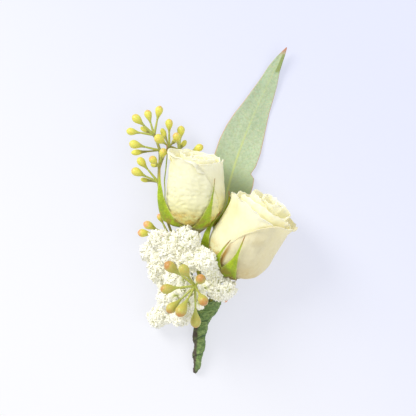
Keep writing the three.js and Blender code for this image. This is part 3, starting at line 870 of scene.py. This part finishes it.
def slices(node, across, stations):
    """For planes at stations along Y, the lowest and highest places that a CAD node reaches along across."""
    mesh = merged_copy(node, "slices")
    points = np.array([vertex.co for vertex in mesh.vertices])
    edges = np.array([edge.vertices[:] for edge in mesh.edges])
    bpy.data.meshes.remove(mesh)
    first, second = points[edges[:, 0]], points[edges[:, 1]]
    low, high = [], []
    for station in stations:
        crosses = (first[:, 1] - station) * (second[:, 1] - station) <= 0
        a, b = first[crosses], second[crosses]
        gap = b[:, 1] - a[:, 1]
        t = np.where(np.abs(gap) > 1e-9, (station - a[:, 1]) / np.where(np.abs(gap) > 1e-9, gap, 1), 0)
        reach = (a + t[:, None] * (b - a))[:, across]
        low.append(reach.min())
        high.append(reach.max())
    return np.array(low), np.array(high)


# Where the midrib is between the margins, from foot to tip. It is nearer the left one low on the blade, where
# the right half swells.
MIDRIB = (0.5, 0.5, 0.42, 0.43, 0.5, 0.55, 0.56, 0.54, 0.5)
LEAF_ROWS = 190
LEAF_COLUMNS = 61


def leaf_blade():
    node = "eucalyptus_leaf"
    low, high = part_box(node)
    rows, columns = LEAF_ROWS, LEAF_COLUMNS
    end = 0.25 * MM
    stations = np.linspace(low.y + end, high.y - end, rows)
    left, right = slices(node, 0, stations)
    solid = merged_copy(node, "leaf rays")
    maker = bmesh.new()
    maker.from_mesh(solid)
    tree = BVHTree.FromBMesh(maker)
    maker.free()
    bpy.data.meshes.remove(solid)

    across, along = np.meshgrid(np.linspace(-1, 1, columns), np.linspace(0, 1, rows))
    midrib = smooth_line(along[:, 0], np.linspace(0, 1, len(MIDRIB)), MIDRIB)
    middle = left + midrib * (right - left)
    # A notch in one margin leaves the midrib straight.
    middle = np.polyval(np.polyfit(along[:, 0], middle, 4), along[:, 0])
    middle = np.clip(middle, left + 0.25 * (right - left), right - 0.25 * (right - left))
    x = np.where(across < 0, middle[:, None] + across * (middle - left)[:, None],
                 middle[:, None] + across * (right - middle)[:, None])
    y = np.repeat(stations[:, None], columns, 1)
    half = 0.5 * (right - left)[:, None] + 0 * across
    # The blade lies just under the solid's upper face, which rays from above find.
    z = np.empty_like(x)
    inset = 0.97
    for place in np.ndindex(x.shape):
        probe = (middle[place[0]] + inset * (x[place] - middle[place[0]]), y[place], 1.0)
        hit = tree.ray_cast(Vector(probe), Vector((0, 0, -1)))[0]
        z[place] = hit.z if hit else np.nan
    for row in range(rows):
        known = ~np.isnan(z[row])
        z[row] = np.interp(across[row], across[row][known], z[row][known]) if known.any() else z[row - 1]
    thickness = settings().sizes.leaf
    z -= 0.5 * thickness

    blade = smoothstep(half, 1.0 * MM, 3.5 * MM)
    distance = np.abs(x - middle[:, None])
    rib = np.exp(-((distance / (0.55 * MM)) ** 2)) * (1 - 0.8 * along)
    slant = y - 1.1 * distance
    gap = 4.6 * MM
    phase = (slant + 0.7 * MM * waves(x, y, 3, 14 * MM)) / gap
    side_vein = np.exp(-(((phase - np.round(phase)) * gap / (0.3 * MM)) ** 2)) * blade
    margin = smoothstep(np.abs(across), 0.86, 0.97)
    sway = 0.5 * MM * waves(x, y, 8, 26 * MM) * smoothstep(along, 0.3, 0.6)
    z += blade * (sway * smoothstep(np.abs(across), 0.1, 0.9))
    z += 0.16 * MM * rib - 0.07 * MM * side_vein * (1 - margin)
    z = np.maximum(z, 0.5 * thickness + 0.02 * MM)
    faded = 1 - 0.7 * smoothstep(along, 0.58, 0.8)
    vein = np.clip(0.9 * faded * np.exp(-((distance / (0.42 * MM)) ** 2)) + 0.25 * side_vein, 0, 1)
    bruise = smoothstep(along, 0.902, 0.912) * (1 - smoothstep(along, 0.97, 0.982))
    bruise = bruise * smoothstep(across, 0.1, 0.4)
    shape = Shape()
    edge = 1 - 0.55 * smoothstep(np.abs(across), 0.9, 1.0)
    points = np.stack([x, y, z], 2)
    shape.sheet(points, thickness * edge, along=along, across=np.abs(across), vein=vein, bruise=bruise)
    return new_object("eucalyptus_leaf_blade", shape.mesh("eucalyptus_leaf_blade"), leaf_finish())


# ---------------------------------------------------------------- geometry trees


def geometry_group(name, sockets):
    group = bpy.data.node_groups.new(name, "GeometryNodeTree")
    group.interface.new_socket("Geometry", in_out="INPUT", socket_type="NodeSocketGeometry")
    for socket, kind in sockets.items():
        group.interface.new_socket(socket, in_out="INPUT", socket_type=kind)
    group.interface.new_socket("Geometry", in_out="OUTPUT", socket_type="NodeSocketGeometry")
    return group, group.nodes.new("NodeGroupInput").outputs, group.nodes.new("NodeGroupOutput").inputs


def point_value(tree, name, kind="FLOAT"):
    node = add(tree, "GeometryNodeInputNamedAttribute", {"Name": name}, data_type=kind)
    return node.outputs["Attribute"]


def instance_of(tree, socket):
    """The object in a socket, as an instance."""
    return add(tree, "GeometryNodeObjectInfo", {"Object": socket, "As Instance": True}).outputs["Geometry"]


def facing(tree, direction):
    """The rotation that turns Z to a direction."""
    return add(tree, "FunctionNodeAlignRotationToVector", {"Vector": direction}, axis="Z").outputs[0]


def set_on(tree, points, instance, turn, size):
    """An instance on each point."""
    inputs = {"Points": points, "Instance": instance, "Rotation": turn, "Scale": size}
    return add(tree, "GeometryNodeInstanceOnPoints", inputs).outputs[0]


def dressed(tree, instances, finish):
    """The instances made real, with a finish."""
    real = add(tree, "GeometryNodeRealizeInstances", {"Geometry": instances}).outputs[0]
    return add(tree, "GeometryNodeSetMaterial", {"Geometry": real, "Material": finish}).outputs[0]


def points_mesh(name, places, **values):
    """A mesh of loose points with named values: a float each, or a direction each."""
    mesh = bpy.data.meshes.new(name)
    mesh.from_pydata([tuple(place) for place in places], [], [])
    for key, value in values.items():
        value = np.asarray(value, np.float32)
        kind, field = ("FLOAT_VECTOR", "vector") if value.ndim == 2 else ("FLOAT", "value")
        mesh.attributes.new(key, kind, "POINT").data.foreach_set(field, value.reshape(-1))
    return mesh


def grown(name, points, tree, values, helpers):
    """Runs a geometry tree on loose points, and returns the plain mesh object that it grows."""
    seedbed = new_object(name + "_points", points)
    modifier = seedbed.modifiers.new("grow", "NODES")
    modifier.node_group = tree
    sockets = [item for item in tree.interface.items_tree if item.in_out == "INPUT"]
    identifiers = {socket.name: socket.identifier for socket in sockets}
    for key, value in values.items():
        modifier[identifiers[key]] = value
    graph = bpy.context.evaluated_depsgraph_get()
    mesh = bpy.data.meshes.new_from_object(seedbed.evaluated_get(graph))
    seedbed.modifiers.remove(modifier)
    mesh.shade_smooth()
    made = new_object(name, mesh)
    for helper in [seedbed, *helpers]:
        bpy.data.objects.remove(helper)
    return made


# ---------------------------------------------------------------- flower buds

# A bud of radius 1, from where its stalk swells to the tip of its cap, as (radius, height).
BUD_PROFILE = [
    (0, -0.05), (0.24, 0), (0.27, 0.25), (0.35, 0.6), (0.5, 1.0), (0.7, 1.4), (0.87, 1.8), (0.97, 2.2),
    (1.0, 2.5), (0.97, 2.76), (0.925, 2.82), (0.925, 2.87), (0.84, 3.08), (0.66, 3.3), (0.42, 3.48),
    (0.18, 3.59), (0, 3.64),
]
BUD_LENGTH = BUD_PROFILE[-1][1]
STALK_RADIUS = 0.5 * MM


def straight(radius, height, turn):
    """Points round the Z axis."""
    return np.stack([radius * np.cos(turn), radius * np.sin(turn), height + 0 * turn], -1)


def bud_shapes():
    """The two shapes that a bud is grown from: the swollen bud of radius 1, and its stalk of length 1."""
    bud = Shape()
    profile = np.array(BUD_PROFILE)
    bud.lathe(profile, straight, segments=20, share=profile[:, 1] / BUD_LENGTH)
    stalk = Shape()
    heights = np.linspace(0, 1, 9)
    thick = STALK_RADIUS * (1.15 - 0.35 * heights)
    rows = [(0, 0), *zip(thick, heights), (0, 1)]
    stalk.lathe(np.array(rows), straight, segments=12, share=np.zeros(len(rows)))
    shapes = {"bud shape": bud, "stalk shape": stalk}
    return [new_object(title, shape.mesh(title)) for title, shape in shapes.items()]


def bud_tree():
    """Puts a stalk at each point, along its direction, and a bud on the stalk's end."""
    sockets = {"Bud": "NodeSocketObject", "Stalk": "NodeSocketObject", "Finish": "NodeSocketMaterial"}
    group, given, result = geometry_group("buds on stalks", sockets)
    direction = point_value(group, "direction", "FLOAT_VECTOR")
    turn = facing(group, direction)
    plump = point_value(group, "plump")
    stalk_length = point_value(group, "stalk")
    stalk = instance_of(group, given["Stalk"])
    stalks = set_on(group, given["Geometry"], stalk, turn, combined(group, 1.0, 1.0, stalk_length))
    reach = {0: direction, "Scale": stalk_length}
    offset = add(group, "ShaderNodeVectorMath", reach, operation="SCALE").outputs[0]
    ends = add(group, "GeometryNodeSetPosition", {"Geometry": given["Geometry"], "Offset": offset}).outputs[0]
    buds = set_on(group, ends, instance_of(group, given["Bud"]), turn, combined(group, plump, plump, plump))
    both = add(group, "GeometryNodeJoinGeometry")
    group.links.new(stalks, both.inputs[0])
    group.links.new(buds, both.inputs[0])
    group.links.new(dressed(group, both.outputs[0], given["Finish"]), result[0])
    return group


def grow_buds(title, nodes, ripeness, finish, seed, swell=0.97):
    """Grows one piece that stands for some CAD buds, each along its own axis and swell times as plump."""
    draw = np.random.default_rng(seed)
    places, directions, plump, stalks, ripe = [], [], [], [], []
    for node in nodes:
        middle, axis, heights, distances = turned(node)
        if (heights * distances).sum() < 0:
            axis, heights = -axis, -heights
        radius = swell * distances.max()
        length = heights.max() - heights.min()
        foot = middle + heights.min() * axis
        # The foot reaches back into the twig that the CAD bud stands clear of.
        back = 0.9 * MM
        places.append(foot - back * axis)
        directions.append(axis)
        plump.append(min(radius, length / BUD_LENGTH))
        stalks.append(length + back - BUD_LENGTH * plump[-1])
        ripe.append(np.clip(ripeness + draw.normal(0, 0.14), 0, 1))
    values = {"direction": directions, "plump": plump, "stalk": stalks, "ripeness": ripe}
    bud, stalk = bud_shapes()
    inputs = {"Bud": bud, "Stalk": stalk, "Finish": finish}
    piece = grown(title, points_mesh(title, places, **values), bud_tree(), inputs, [bud, stalk])
    return keep(piece, "bud", *nodes)


# ---------------------------------------------------------------- baby's breath

BUD_ROOM = 3.4 * MM  # room left round the middle of each bud
HIP_ROOM = 5.4 * MM  # room left round each hip
HIP_CLEAR = 1.1  # where a hip's middle is below its rose's centre, in radii
FLORETS_ROUND_STEM = 9
UMBEL_REACH = 7 * MM
UMBEL_DEPTH = 7 * MM  # how far those florets sit below the buds
FILL_REACH = 15 * MM  # heads nearer than this have florets between them
HEAD_SPREAD = 1.5  # the loose petals of a head, against the solid dome that stands for it
FLORETS_ROUND_HEAD = 6
FLORETS_LOW_ON_HEAD = 9
FLOOR_ROOM = 0.9 * MM  # kept between a head and the surface
LOOSE_ROOM = 0.8 * MM  # how far a head's loose petals pass the room it has


def floret_petal():
    """One small notched petal, from its claw at the origin to its tip at about 1 along Z."""
    across, along = np.meshgrid(np.linspace(-1, 1, 5), np.array([0.0, 0.35, 0.6, 0.82, 1.0]))
    wide = np.interp(along, [0, 0.35, 0.6, 0.82, 1.0], [0.04, 0.12, 0.25, 0.32, 0.26])
    notch = 0.13 * (along > 0.99) * (1 - np.abs(across))
    x = 0.2 * along**2 + 0.07 * np.cos(2.0 * math.pi * across) * along**2
    y = wide * across
    z = along - notch - 0.05 * along * across**2
    shape = Shape()
    shape.sheet(np.stack([x, y, z], 2), 0.035, share=along)
    return new_object("floret petal", shape.mesh("floret petal"))


def floret_tree():
    """Packs petals in a spiral into a double flower, and puts one on each point, facing its direction."""
    sockets = {
        "Petal": "NodeSocketObject", "Petals": "NodeSocketInt", "Seed": "NodeSocketInt",
        "Finish": "NodeSocketMaterial",
    }
    group, given, result = geometry_group("double florets", sockets)
    index = add(group, "GeometryNodeInputIndex").outputs[0]

    def calculate(operation, *values):
        return add(group, "ShaderNodeMath", dict(enumerate(values)), operation=operation).outputs[0]

    def random(low, high, offset):
        inputs = {2: low, 3: high, "Seed": calculate("ADD", given["Seed"], offset)}
        return add(group, "FunctionNodeRandomValue", inputs, data_type="FLOAT").outputs[1]

    share = calculate("SQRT", calculate("DIVIDE", calculate("ADD", index, 0.5), given["Petals"]))
    tilt = calculate("ADD", calculate("MULTIPLY", share, 1.5), random(-0.22, 0.22, 1))
    turn = calculate("ADD", calculate("MULTIPLY", index, GOLDEN_ANGLE), random(-0.3, 0.3, 2))
    twist = random(-0.5, 0.5, 3)
    rotation = add(group, "FunctionNodeEulerToRotation", {0: combined(group, twist, tilt, turn)}).outputs[0]
    fullness = calculate("ADD", 0.72, calculate("MULTIPLY", share, 0.28))
    size = calculate("MULTIPLY", random(0.78, 1.1, 4), fullness)
    seats = add(group, "GeometryNodePoints", {"Count": given["Petals"]}).outputs[0]
    petal = instance_of(group, given["Petal"])
    floret = set_on(group, seats, petal, rotation, combined(group, size, size, size))
    one = add(group, "GeometryNodeGeometryToInstance")
    group.links.new(floret, one.inputs[0])

    aligned = facing(group, point_value(group, "direction", "FLOAT_VECTOR"))
    about = {"Axis": (0, 0, 1), "Angle": random(0.0, 6.28, 5)}
    about = add(group, "FunctionNodeAxisAngleToRotation", about).outputs[0]
    spun = {0: aligned, 1: about}
    spun = add(group, "FunctionNodeRotateRotation", spun, rotation_space="LOCAL").outputs[0]
    reach = point_value(group, "size")
    florets = set_on(group, given["Geometry"], one.outputs[0], spun, combined(group, reach, reach, reach))
    group.links.new(dressed(group, florets, given["Finish"]), result[0])
    return group


def around(axis):
    """Two directions square to an axis and to each other."""
    helper = (1.0, 0.0, 0.0) if abs(axis[0]) < 0.7 else (0.0, 1.0, 0.0)
    first = unit(np.cross(axis, helper))
    return first, np.cross(axis, first)


def baby_breath_heads():
    finish = floret_finish()
    tree = floret_tree()
    sizes = settings().sizes
    nodes = nodes_named("babys_breath_head_")
    middles = [turned(node)[0] for node in nodes]
    front = np.array([turned(node)[0] for node in nodes_named("front_bud_")])
    hips = [rose.centre - HIP_CLEAR * rose.radius * rose.up for rose in map(RoseFrame, OUTER_PETALS)]
    side = [turned(node)[0] for node in nodes_named("side_bud_")]
    kept_clear = np.concatenate([front, side, hips])
    clear_room = np.array([BUD_ROOM] * (len(front) + len(side)) + [HIP_ROOM] * len(hips))
    # The front sprig's stem comes up through the mass, and florets close round it.
    umbel = np.median(front, axis=0)
    nearest = np.argmin([np.linalg.norm(middle - umbel) for middle in middles])
    for number, node in enumerate(nodes):
        draw = np.random.default_rng(40 + number)
        middle, axis, heights, distances = turned(node)
        axis = axis if axis[2] > 0 else -axis
        room = min(np.abs(np.array(CAD_BOX)[:, :2] - middle[:2]).min(), middle[2] - FLOOR_ROOM)
        radius = min(HEAD_SPREAD * distances.max(), room + LOOSE_ROOM)
        first, second = around(axis)
        places, directions, reaches = [], [], []
        rings = [(0.0, 1), (50.0, FLORETS_ROUND_HEAD), (92.0, FLORETS_LOW_ON_HEAD)]
        for tilt, count in rings:
            for k in range(count):
                lean = math.radians(tilt + draw.uniform(-15, 15) * (tilt > 0))
                turn = 2 * math.pi * (k + 0.4 * draw.uniform(-1, 1)) / count + tilt
                out = math.cos(turn) * first + math.sin(turn) * second
                direction = math.cos(lean) * axis + math.sin(lean) * out
                reach = sizes.floret * draw.uniform(0.8, 1.1)
                depth = radius * draw.uniform(0.8, 1.06) - 0.8 * reach
                places.append(middle + depth * direction)
                directions.append(direction)
                reaches.append(reach)
        # Loose florets fill the gaps between this head and the ones next to it.
        for other in middles[number + 1:]:
            if np.linalg.norm(other - middle) < FILL_REACH:
                for share in (0.38, 0.62):
                    lean = np.array([draw.uniform(-0.5, 0.5), draw.uniform(-0.5, 0.5), 1.0])
                    places.append((1 - share) * middle + share * other - np.array([0, 0, 1.2 * MM]))
                    directions.append(unit(lean))
                    reaches.append(sizes.floret * draw.uniform(0.85, 1.05))
        if number == nearest:
            for k in range(FLORETS_ROUND_STEM):
                out = UMBEL_REACH * math.sqrt((k + 0.5) / FLORETS_ROUND_STEM)
                turn = k * GOLDEN_ANGLE
                places.append(umbel + np.array([out * math.cos(turn), out * math.sin(turn), -UMBEL_DEPTH]))
                directions.append(unit(np.array([0.4 * math.cos(turn), 0.4 * math.sin(turn), 1.0])))
                reaches.append(sizes.floret * draw.uniform(0.9, 1.1))
        # The buds that lie over the mass, and the roses' hips, are left clear.
        tips = np.array(places) + np.array(directions) * np.array(reaches)[:, None]
        gaps = np.linalg.norm(tips[:, None, :2] - kept_clear[None, :, :2], axis=2)
        covers = (gaps < clear_room) & (tips[:, None, 2] > kept_clear[None, :, 2])
        free = ~covers.any(axis=1)
        places, directions, reaches = (np.array(values)[free] for values in (places, directions, reaches))
        title = node.replace("head", "florets")
        petal = floret_petal()
        inputs = {"Petal": petal, "Petals": sizes.floret_petals, "Seed": 7 * number, "Finish": finish}
        points = points_mesh(title, places, direction=directions, size=reaches)
        keep(grown(title, points, tree, inputs, [petal]), "floret", node)


# ---------------------------------------------------------------- stems


def stem_skin(node, title, finish, slot, levels=2):
    """A CAD stem made smooth, marked where it is plump enough to be an unripe bud."""
    mesh = merged_copy(node, title)
    made = new_object(title, mesh, finish)
    modifier = made.modifiers.new("smooth", "SUBSURF")
    modifier.levels = levels
    modifier.render_levels = levels
    graph = bpy.context.evaluated_depsgraph_get()
    smooth = bpy.data.meshes.new_from_object(made.evaluated_get(graph))
    made.modifiers.remove(modifier)
    made.data = smooth
    smooth.shade_smooth()

    maker = bmesh.new()
    maker.from_mesh(smooth)
    tree = BVHTree.FromBMesh(maker)
    maker.free()
    plump = np.zeros(len(smooth.vertices), np.float32)
    for vertex in smooth.vertices:
        hit = tree.ray_cast(vertex.co - 1e-5 * vertex.normal, -vertex.normal, 5 * MM)
        plump[vertex.index] = smoothstep(hit[3] if hit[3] else 0.0, 1.55 * MM, 2.0 * MM)
    smooth.attributes.new("plump", "FLOAT", "POINT").data.foreach_set("value", plump)
    return keep(made, slot, node)


# ---------------------------------------------------------------- the tape


TAPE_ROWS = 300
TAPE_COLUMNS = 120


def tape_wrap():
    node = "floral_tape"
    low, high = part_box(node)
    chosen = settings().sizes
    rows, columns = TAPE_ROWS, TAPE_COLUMNS
    end = 0.05 * MM
    stations = np.linspace(high.y - end, low.y + end, rows)
    left, right = slices(node, 0, stations)
    bottom, top = slices(node, 2, stations)
    turn = np.linspace(0, 2 * math.pi, columns, endpoint=False)[None, :]
    y = stations[:, None] + 0 * turn
    middle_x, middle_z = 0.5 * (left + right)[:, None], 0.5 * (bottom + top)[:, None]
    half_x, half_z = 0.5 * (right - left)[:, None], 0.5 * (top - bottom)[:, None]

    # The tape winds down in slanting turns. Each turn's lower edge lies over the next.
    around_stem = turn / (2 * math.pi)
    down = (high.y - y) / chosen.tape_width
    lap = (down - around_stem + 0.06 * waves(np.cos(turn) * 3 * MM, y, 4, 5 * MM)) % 1.0
    step = 0.5 * MM * (smoothstep(lap, 0.0, 0.9) - smoothstep(lap, 0.93, 1.0))
    girth = np.sqrt(half_x * half_z)
    crinkle = waves(turn * 1.2 * MM, y + 1.8 * MM * np.sin(turn), 12, 1.7 * MM, 20)
    creases = 0.26 * MM * np.abs(crinkle)
    lumps = 0.3 * MM * waves(np.cos(turn) * girth, np.sin(turn) * girth + y, 6, 7 * MM)
    depth = 0.5 * MM - step + creases + np.clip(lumps, -0.15 * MM, 1)
    shrink = np.clip(1 - depth / np.maximum(girth, 0.6 * MM), 0.55, 1.0)
    ragged = 0.9 * MM * waves(np.cos(turn) * 5 * MM, np.sin(turn) * 5 * MM, 2, 6 * MM)
    ragged = ragged * smoothstep(down, 0.5, 0.0)
    y = y + np.minimum(ragged - 0.5 * MM * smoothstep(down, 0.4, 0.0), 0)
    x, z = middle_x + shrink * half_x * np.cos(turn), middle_z + shrink * half_z * np.sin(turn)
    outside = np.stack([x, y, z], 2)

    # Inside the collar the tape's inner face is seen, so the wall folds over and runs down among the stems.
    inner_rows = 24
    wall = 0.4 * MM
    inner = outside[:inner_rows][::-1].copy()
    axis = [middle_x[:inner_rows, 0], y[:inner_rows].mean(axis=1), middle_z[:inner_rows, 0]]
    centre = np.stack(axis, 1)[::-1]
    away = inner - centre[:, None, :]
    away[..., 1] = 0
    inner -= wall * away / np.maximum(np.linalg.norm(away, axis=2, keepdims=True), 1e-9)
    grid = np.concatenate([inner, outside])
    total = len(grid)
    floor_point = grid[0].mean(axis=0)
    end_point = grid[-1].mean(axis=0) + np.array([0, -0.1 * MM, 0])
    vertices = np.concatenate([grid.reshape(-1, 3), [floor_point, end_point]])
    faces = []
    for i in range(columns):
        j = (i + 1) % columns
        faces.append([total * columns, i, j])
        for start in range(0, (total - 1) * columns, columns):
            faces.append([start + i, start + columns + i, start + columns + j, start + j])
        faces.append([total * columns + 1, (total - 1) * columns + j, (total - 1) * columns + i])
    # Painted shade: a mask for the dark band under each turn's lapped edge and along the deepest crinkles.
    edge = 0.85 * smoothstep(lap, 0.9, 0.955) * (1 - smoothstep(lap, 0.985, 1.0))
    fold_shade = np.clip(edge + 0.3 * smoothstep(np.abs(crinkle), 1.2, 2.2), 0, 1)
    soil = smoothstep(-np.cos(turn), 0.15, 0.5) * smoothstep(down, 1.1, 1.7)
    soil = soil + 0.7 * smoothstep(down, 3.9, 4.3)
    soil = np.clip(soil * (0.9 + 0.25 * waves(turn * 3 * MM, y, 9, 3 * MM)), 0, 1)
    values = {}
    for name, value in {"fold_shade": fold_shade, "soil": soil}.items():
        whole = np.concatenate([value[:inner_rows][::-1], value]).reshape(-1)
        values[name] = np.concatenate([whole, [0.5, 0.8]])
    shape = Shape()
    shape.add(vertices, faces, **values)
    piece = new_object("floral_tape_wrap", shape.mesh("floral_tape_wrap"), tape_finish())
    return keep(piece, "tape", node)


# ---------------------------------------------------------------- operators


class CORSAGE_OT_leaf(bpy.types.Operator):
    """Make the eucalyptus leaf with its veins and waved margins"""

    bl_idname = "corsage.leaf"
    bl_label = "Eucalyptus leaf"

    def execute(self, context):
        keep(leaf_blade(), "leaf", "eucalyptus_leaf")
        return {"FINISHED"}


class CORSAGE_OT_petals(bpy.types.Operator):
    """Make the outer and inner petals of both roses"""

    bl_idname = "corsage.petals"
    bl_label = "Rose petals"

    def execute(self, context):
        for name in OUTER_PETALS:
            rose_petals(name)
        return {"FINISHED"}


class CORSAGE_OT_calyxes(bpy.types.Operator):
    """Make the hips and sepals of both roses, and their stems"""

    bl_idname = "corsage.calyxes"
    bl_label = "Hips, sepals and rose stems"

    def execute(self, context):
        green = sepal_finish()
        bark = twig_finish("rose stem bark", "86a83a", "6f8f30", "4f7020")
        for name in SEPALS:
            piece = calyx_skin(name)
            piece.data.materials.append(green)
            keep(piece, "sepal", f"rose_{name}_calyx")
            stem_skin(f"rose_{name}_stem", f"rose_{name}_stem_skin", bark, "rose_stem")
        return {"FINISHED"}


class CORSAGE_OT_buds(bpy.types.Operator):
    """Grow the eucalyptus flower buds on their sprigs"""

    bl_idname = "corsage.buds"
    bl_label = "Eucalyptus buds"

    def execute(self, context):
        colours = settings().colours
        yellow = bud_finish("young bud skin", rgba(colours.bud), linear("eba070"))
        ripe = bud_finish("ripe bud skin", rgba(colours.ripe_bud), linear("c98c48"))
        orange = bud_finish("orange bud skin", linear("f2a87c"), linear("ee8c5c"))
        front = nodes_named("front_bud_")
        grow_buds("upper_sprig_buds", nodes_named("upper_bud_"), 0.5, yellow, 1)
        grow_buds("side_sprig_buds", nodes_named("side_bud_"), 0.9, yellow, 2)
        grow_buds("front_sprig_buds", front[:-1], 0.8, ripe, 3)
        grow_buds("front_sprig_orange_bud", front[-1:], 1.0, orange, 4, swell=1.5)
        twig = twig_finish("eucalyptus twig bark", "b0ad58", "96924a", "7a6a3c")
        stem_skin("upper_sprig_stem", "upper_sprig_twigs", twig, "bud_twig", levels=1)
        brown = twig_finish("old eucalyptus bark", "94815a", "7d6848", "5e4834")
        stem_skin("front_sprig_stem", "front_sprig_twigs", brown, "bud_twig")
        return {"FINISHED"}


class CORSAGE_OT_babys_breath(bpy.types.Operator):
    """Grow the heads of double baby's breath, petal by petal, and their twigs"""

    bl_idname = "corsage.babys_breath"
    bl_label = "Baby's breath"

    def execute(self, context):
        baby_breath_heads()
        twig = twig_finish("baby's breath twig bark", "a3ac78", "8b9560", "6f7a48")
        stem_skin("babys_breath_stems", "babys_breath_twigs", twig, "floret_twig", levels=1)
        return {"FINISHED"}


class CORSAGE_OT_handle(bpy.types.Operator):
    """Wrap the stems in floral tape and finish the wire among them"""

    bl_idname = "corsage.handle"
    bl_label = "Taped handle"

    def execute(self, context):
        tape_wrap()
        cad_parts["stem_wire"].material_slots[0].material = wire_finish()
        return {"FINISHED"}


class CORSAGE_OT_stage(bpy.types.Operator):
    """Set the floor, the soft lights and the pale sky"""

    bl_idname = "corsage.stage"
    bl_label = "Stage"

    def execute(self, context):
        make_stage()
        return {"FINISHED"}


# ---------------------------------------------------------------- the stage

CAMERA_HEIGHT = 0.8
FIELD = 0.1766  # width of the view at the height of the surface
SENSOR = 36.0
CAMERA_PLACE = (-0.54 * MM, 1.1 * MM, CAMERA_HEIGHT + 12 * MM)
FLOOR_HALF = 3.0
GLOW_REACH = 0.17  # how far from the middle the floor's two tones lie
# Each light is its place, its diameter, its power and its colour.
LIGHTS = {
    "key": ((-0.75, 0.65, 0.75), 0.62, 11.5, (1.0, 0.99, 0.97)),
    "fill": ((0.7, -0.4, 0.9), 1.0, 3.6, (0.97, 0.98, 1.0)),
}
SKY = "f0f2ff"
SKY_STRENGTH = 0.74


def make_camera():
    data = bpy.data.cameras.new("camera")
    data.sensor_width = SENSOR
    data.lens = SENSOR * CAMERA_HEIGHT / FIELD
    data.clip_end = 10.0
    camera = bpy.data.objects.new("camera", data)
    camera.location = CAMERA_PLACE
    bpy.context.scene.collection.objects.link(camera)
    bpy.context.scene.camera = camera


def soft_light(name, place, size, power, colour):
    data = bpy.data.lights.new(name, "AREA")
    data.shape = "DISK"
    data.size = size
    data.energy = power
    data.color = colour
    light = bpy.data.objects.new(name, data)
    light.location = place
    light.rotation_euler = (-Vector(place)).to_track_quat("-Z", "Y").to_euler()
    bpy.context.scene.collection.objects.link(light)


def make_stage():
    scene = bpy.context.scene
    mesh = bpy.data.meshes.new("floor")
    square = [(-FLOOR_HALF, -FLOOR_HALF, 0), (FLOOR_HALF, -FLOOR_HALF, 0)]
    square += [(FLOOR_HALF, FLOOR_HALF, 0), (-FLOOR_HALF, FLOOR_HALF, 0)]
    mesh.from_pydata(square, [], [(0, 1, 2, 3)])

    def paint(tree):
        place = add(tree, "ShaderNodeTexCoord").outputs["Object"]
        axes = add(tree, "ShaderNodeSeparateXYZ", {0: place}).outputs
        tone = ramp(tree, times(tree, axes["X"], axes["Y"], "ADD"), -GLOW_REACH, GLOW_REACH)
        colours = settings().colours
        glow = mix(tree, tone, rgba(colours.near_glow), rgba(colours.far_glow))
        return {"Base Color": rgba(colours.floor), "Roughness": 0.9, "Emission Color": glow,
                "Emission Strength": 1.0}

    floor = new_object("floor", mesh, finished("pale surface", paint))

    for name, light in LIGHTS.items():
        soft_light(name, *light)
    world = bpy.data.worlds.new("studio")
    world.use_nodes = True
    background = world.node_tree.nodes["Background"]
    background.inputs["Color"].default_value = linear(SKY)
    background.inputs["Strength"].default_value = SKY_STRENGTH
    scene.world = world
    scene.view_settings.view_transform = "Standard"
    scene.view_settings.look = "None"


# ---------------------------------------------------------------- the add-on


class CORSAGE_PT_panel(bpy.types.Panel):
    """The steps that make the corsage, in order"""

    bl_idname = "CORSAGE_PT_panel"
    bl_label = "Corsage"
    bl_space_type = "VIEW_3D"
    bl_region_type = "UI"
    bl_category = "Corsage"

    def draw(self, context):
        chosen = context.scene.corsage
        for group in (chosen.sizes, chosen.colours):
            for name in group.bl_rna.properties.keys():
                if name not in {"rna_type", "name"}:
                    self.layout.prop(group, name)
        for step in STEPS:
            self.layout.operator(step.bl_idname)


STEPS = (
    CORSAGE_OT_stage,
    CORSAGE_OT_leaf,
    CORSAGE_OT_petals,
    CORSAGE_OT_calyxes,
    CORSAGE_OT_buds,
    CORSAGE_OT_babys_breath,
    CORSAGE_OT_handle,
)
CLASSES = (CorsageColours, CorsageSizes, CorsageSettings, *STEPS, CORSAGE_PT_panel)


def register():
    for item in CLASSES:
        bpy.utils.register_class(item)
    bpy.types.Scene.corsage = PointerProperty(type=CorsageSettings, name="Corsage", description="The corsage")


def unregister():
    del bpy.types.Scene.corsage
    for item in reversed(CLASSES):
        bpy.utils.unregister_class(item)


def main():
    register()
    make_camera()
    bpy.ops.corsage.stage()
    bpy.ops.corsage.leaf()
    bpy.ops.corsage.petals()
    bpy.ops.corsage.calyxes()
    bpy.ops.corsage.buds()
    bpy.ops.corsage.babys_breath()
    bpy.ops.corsage.handle()


if __name__ == "__main__":
    main()
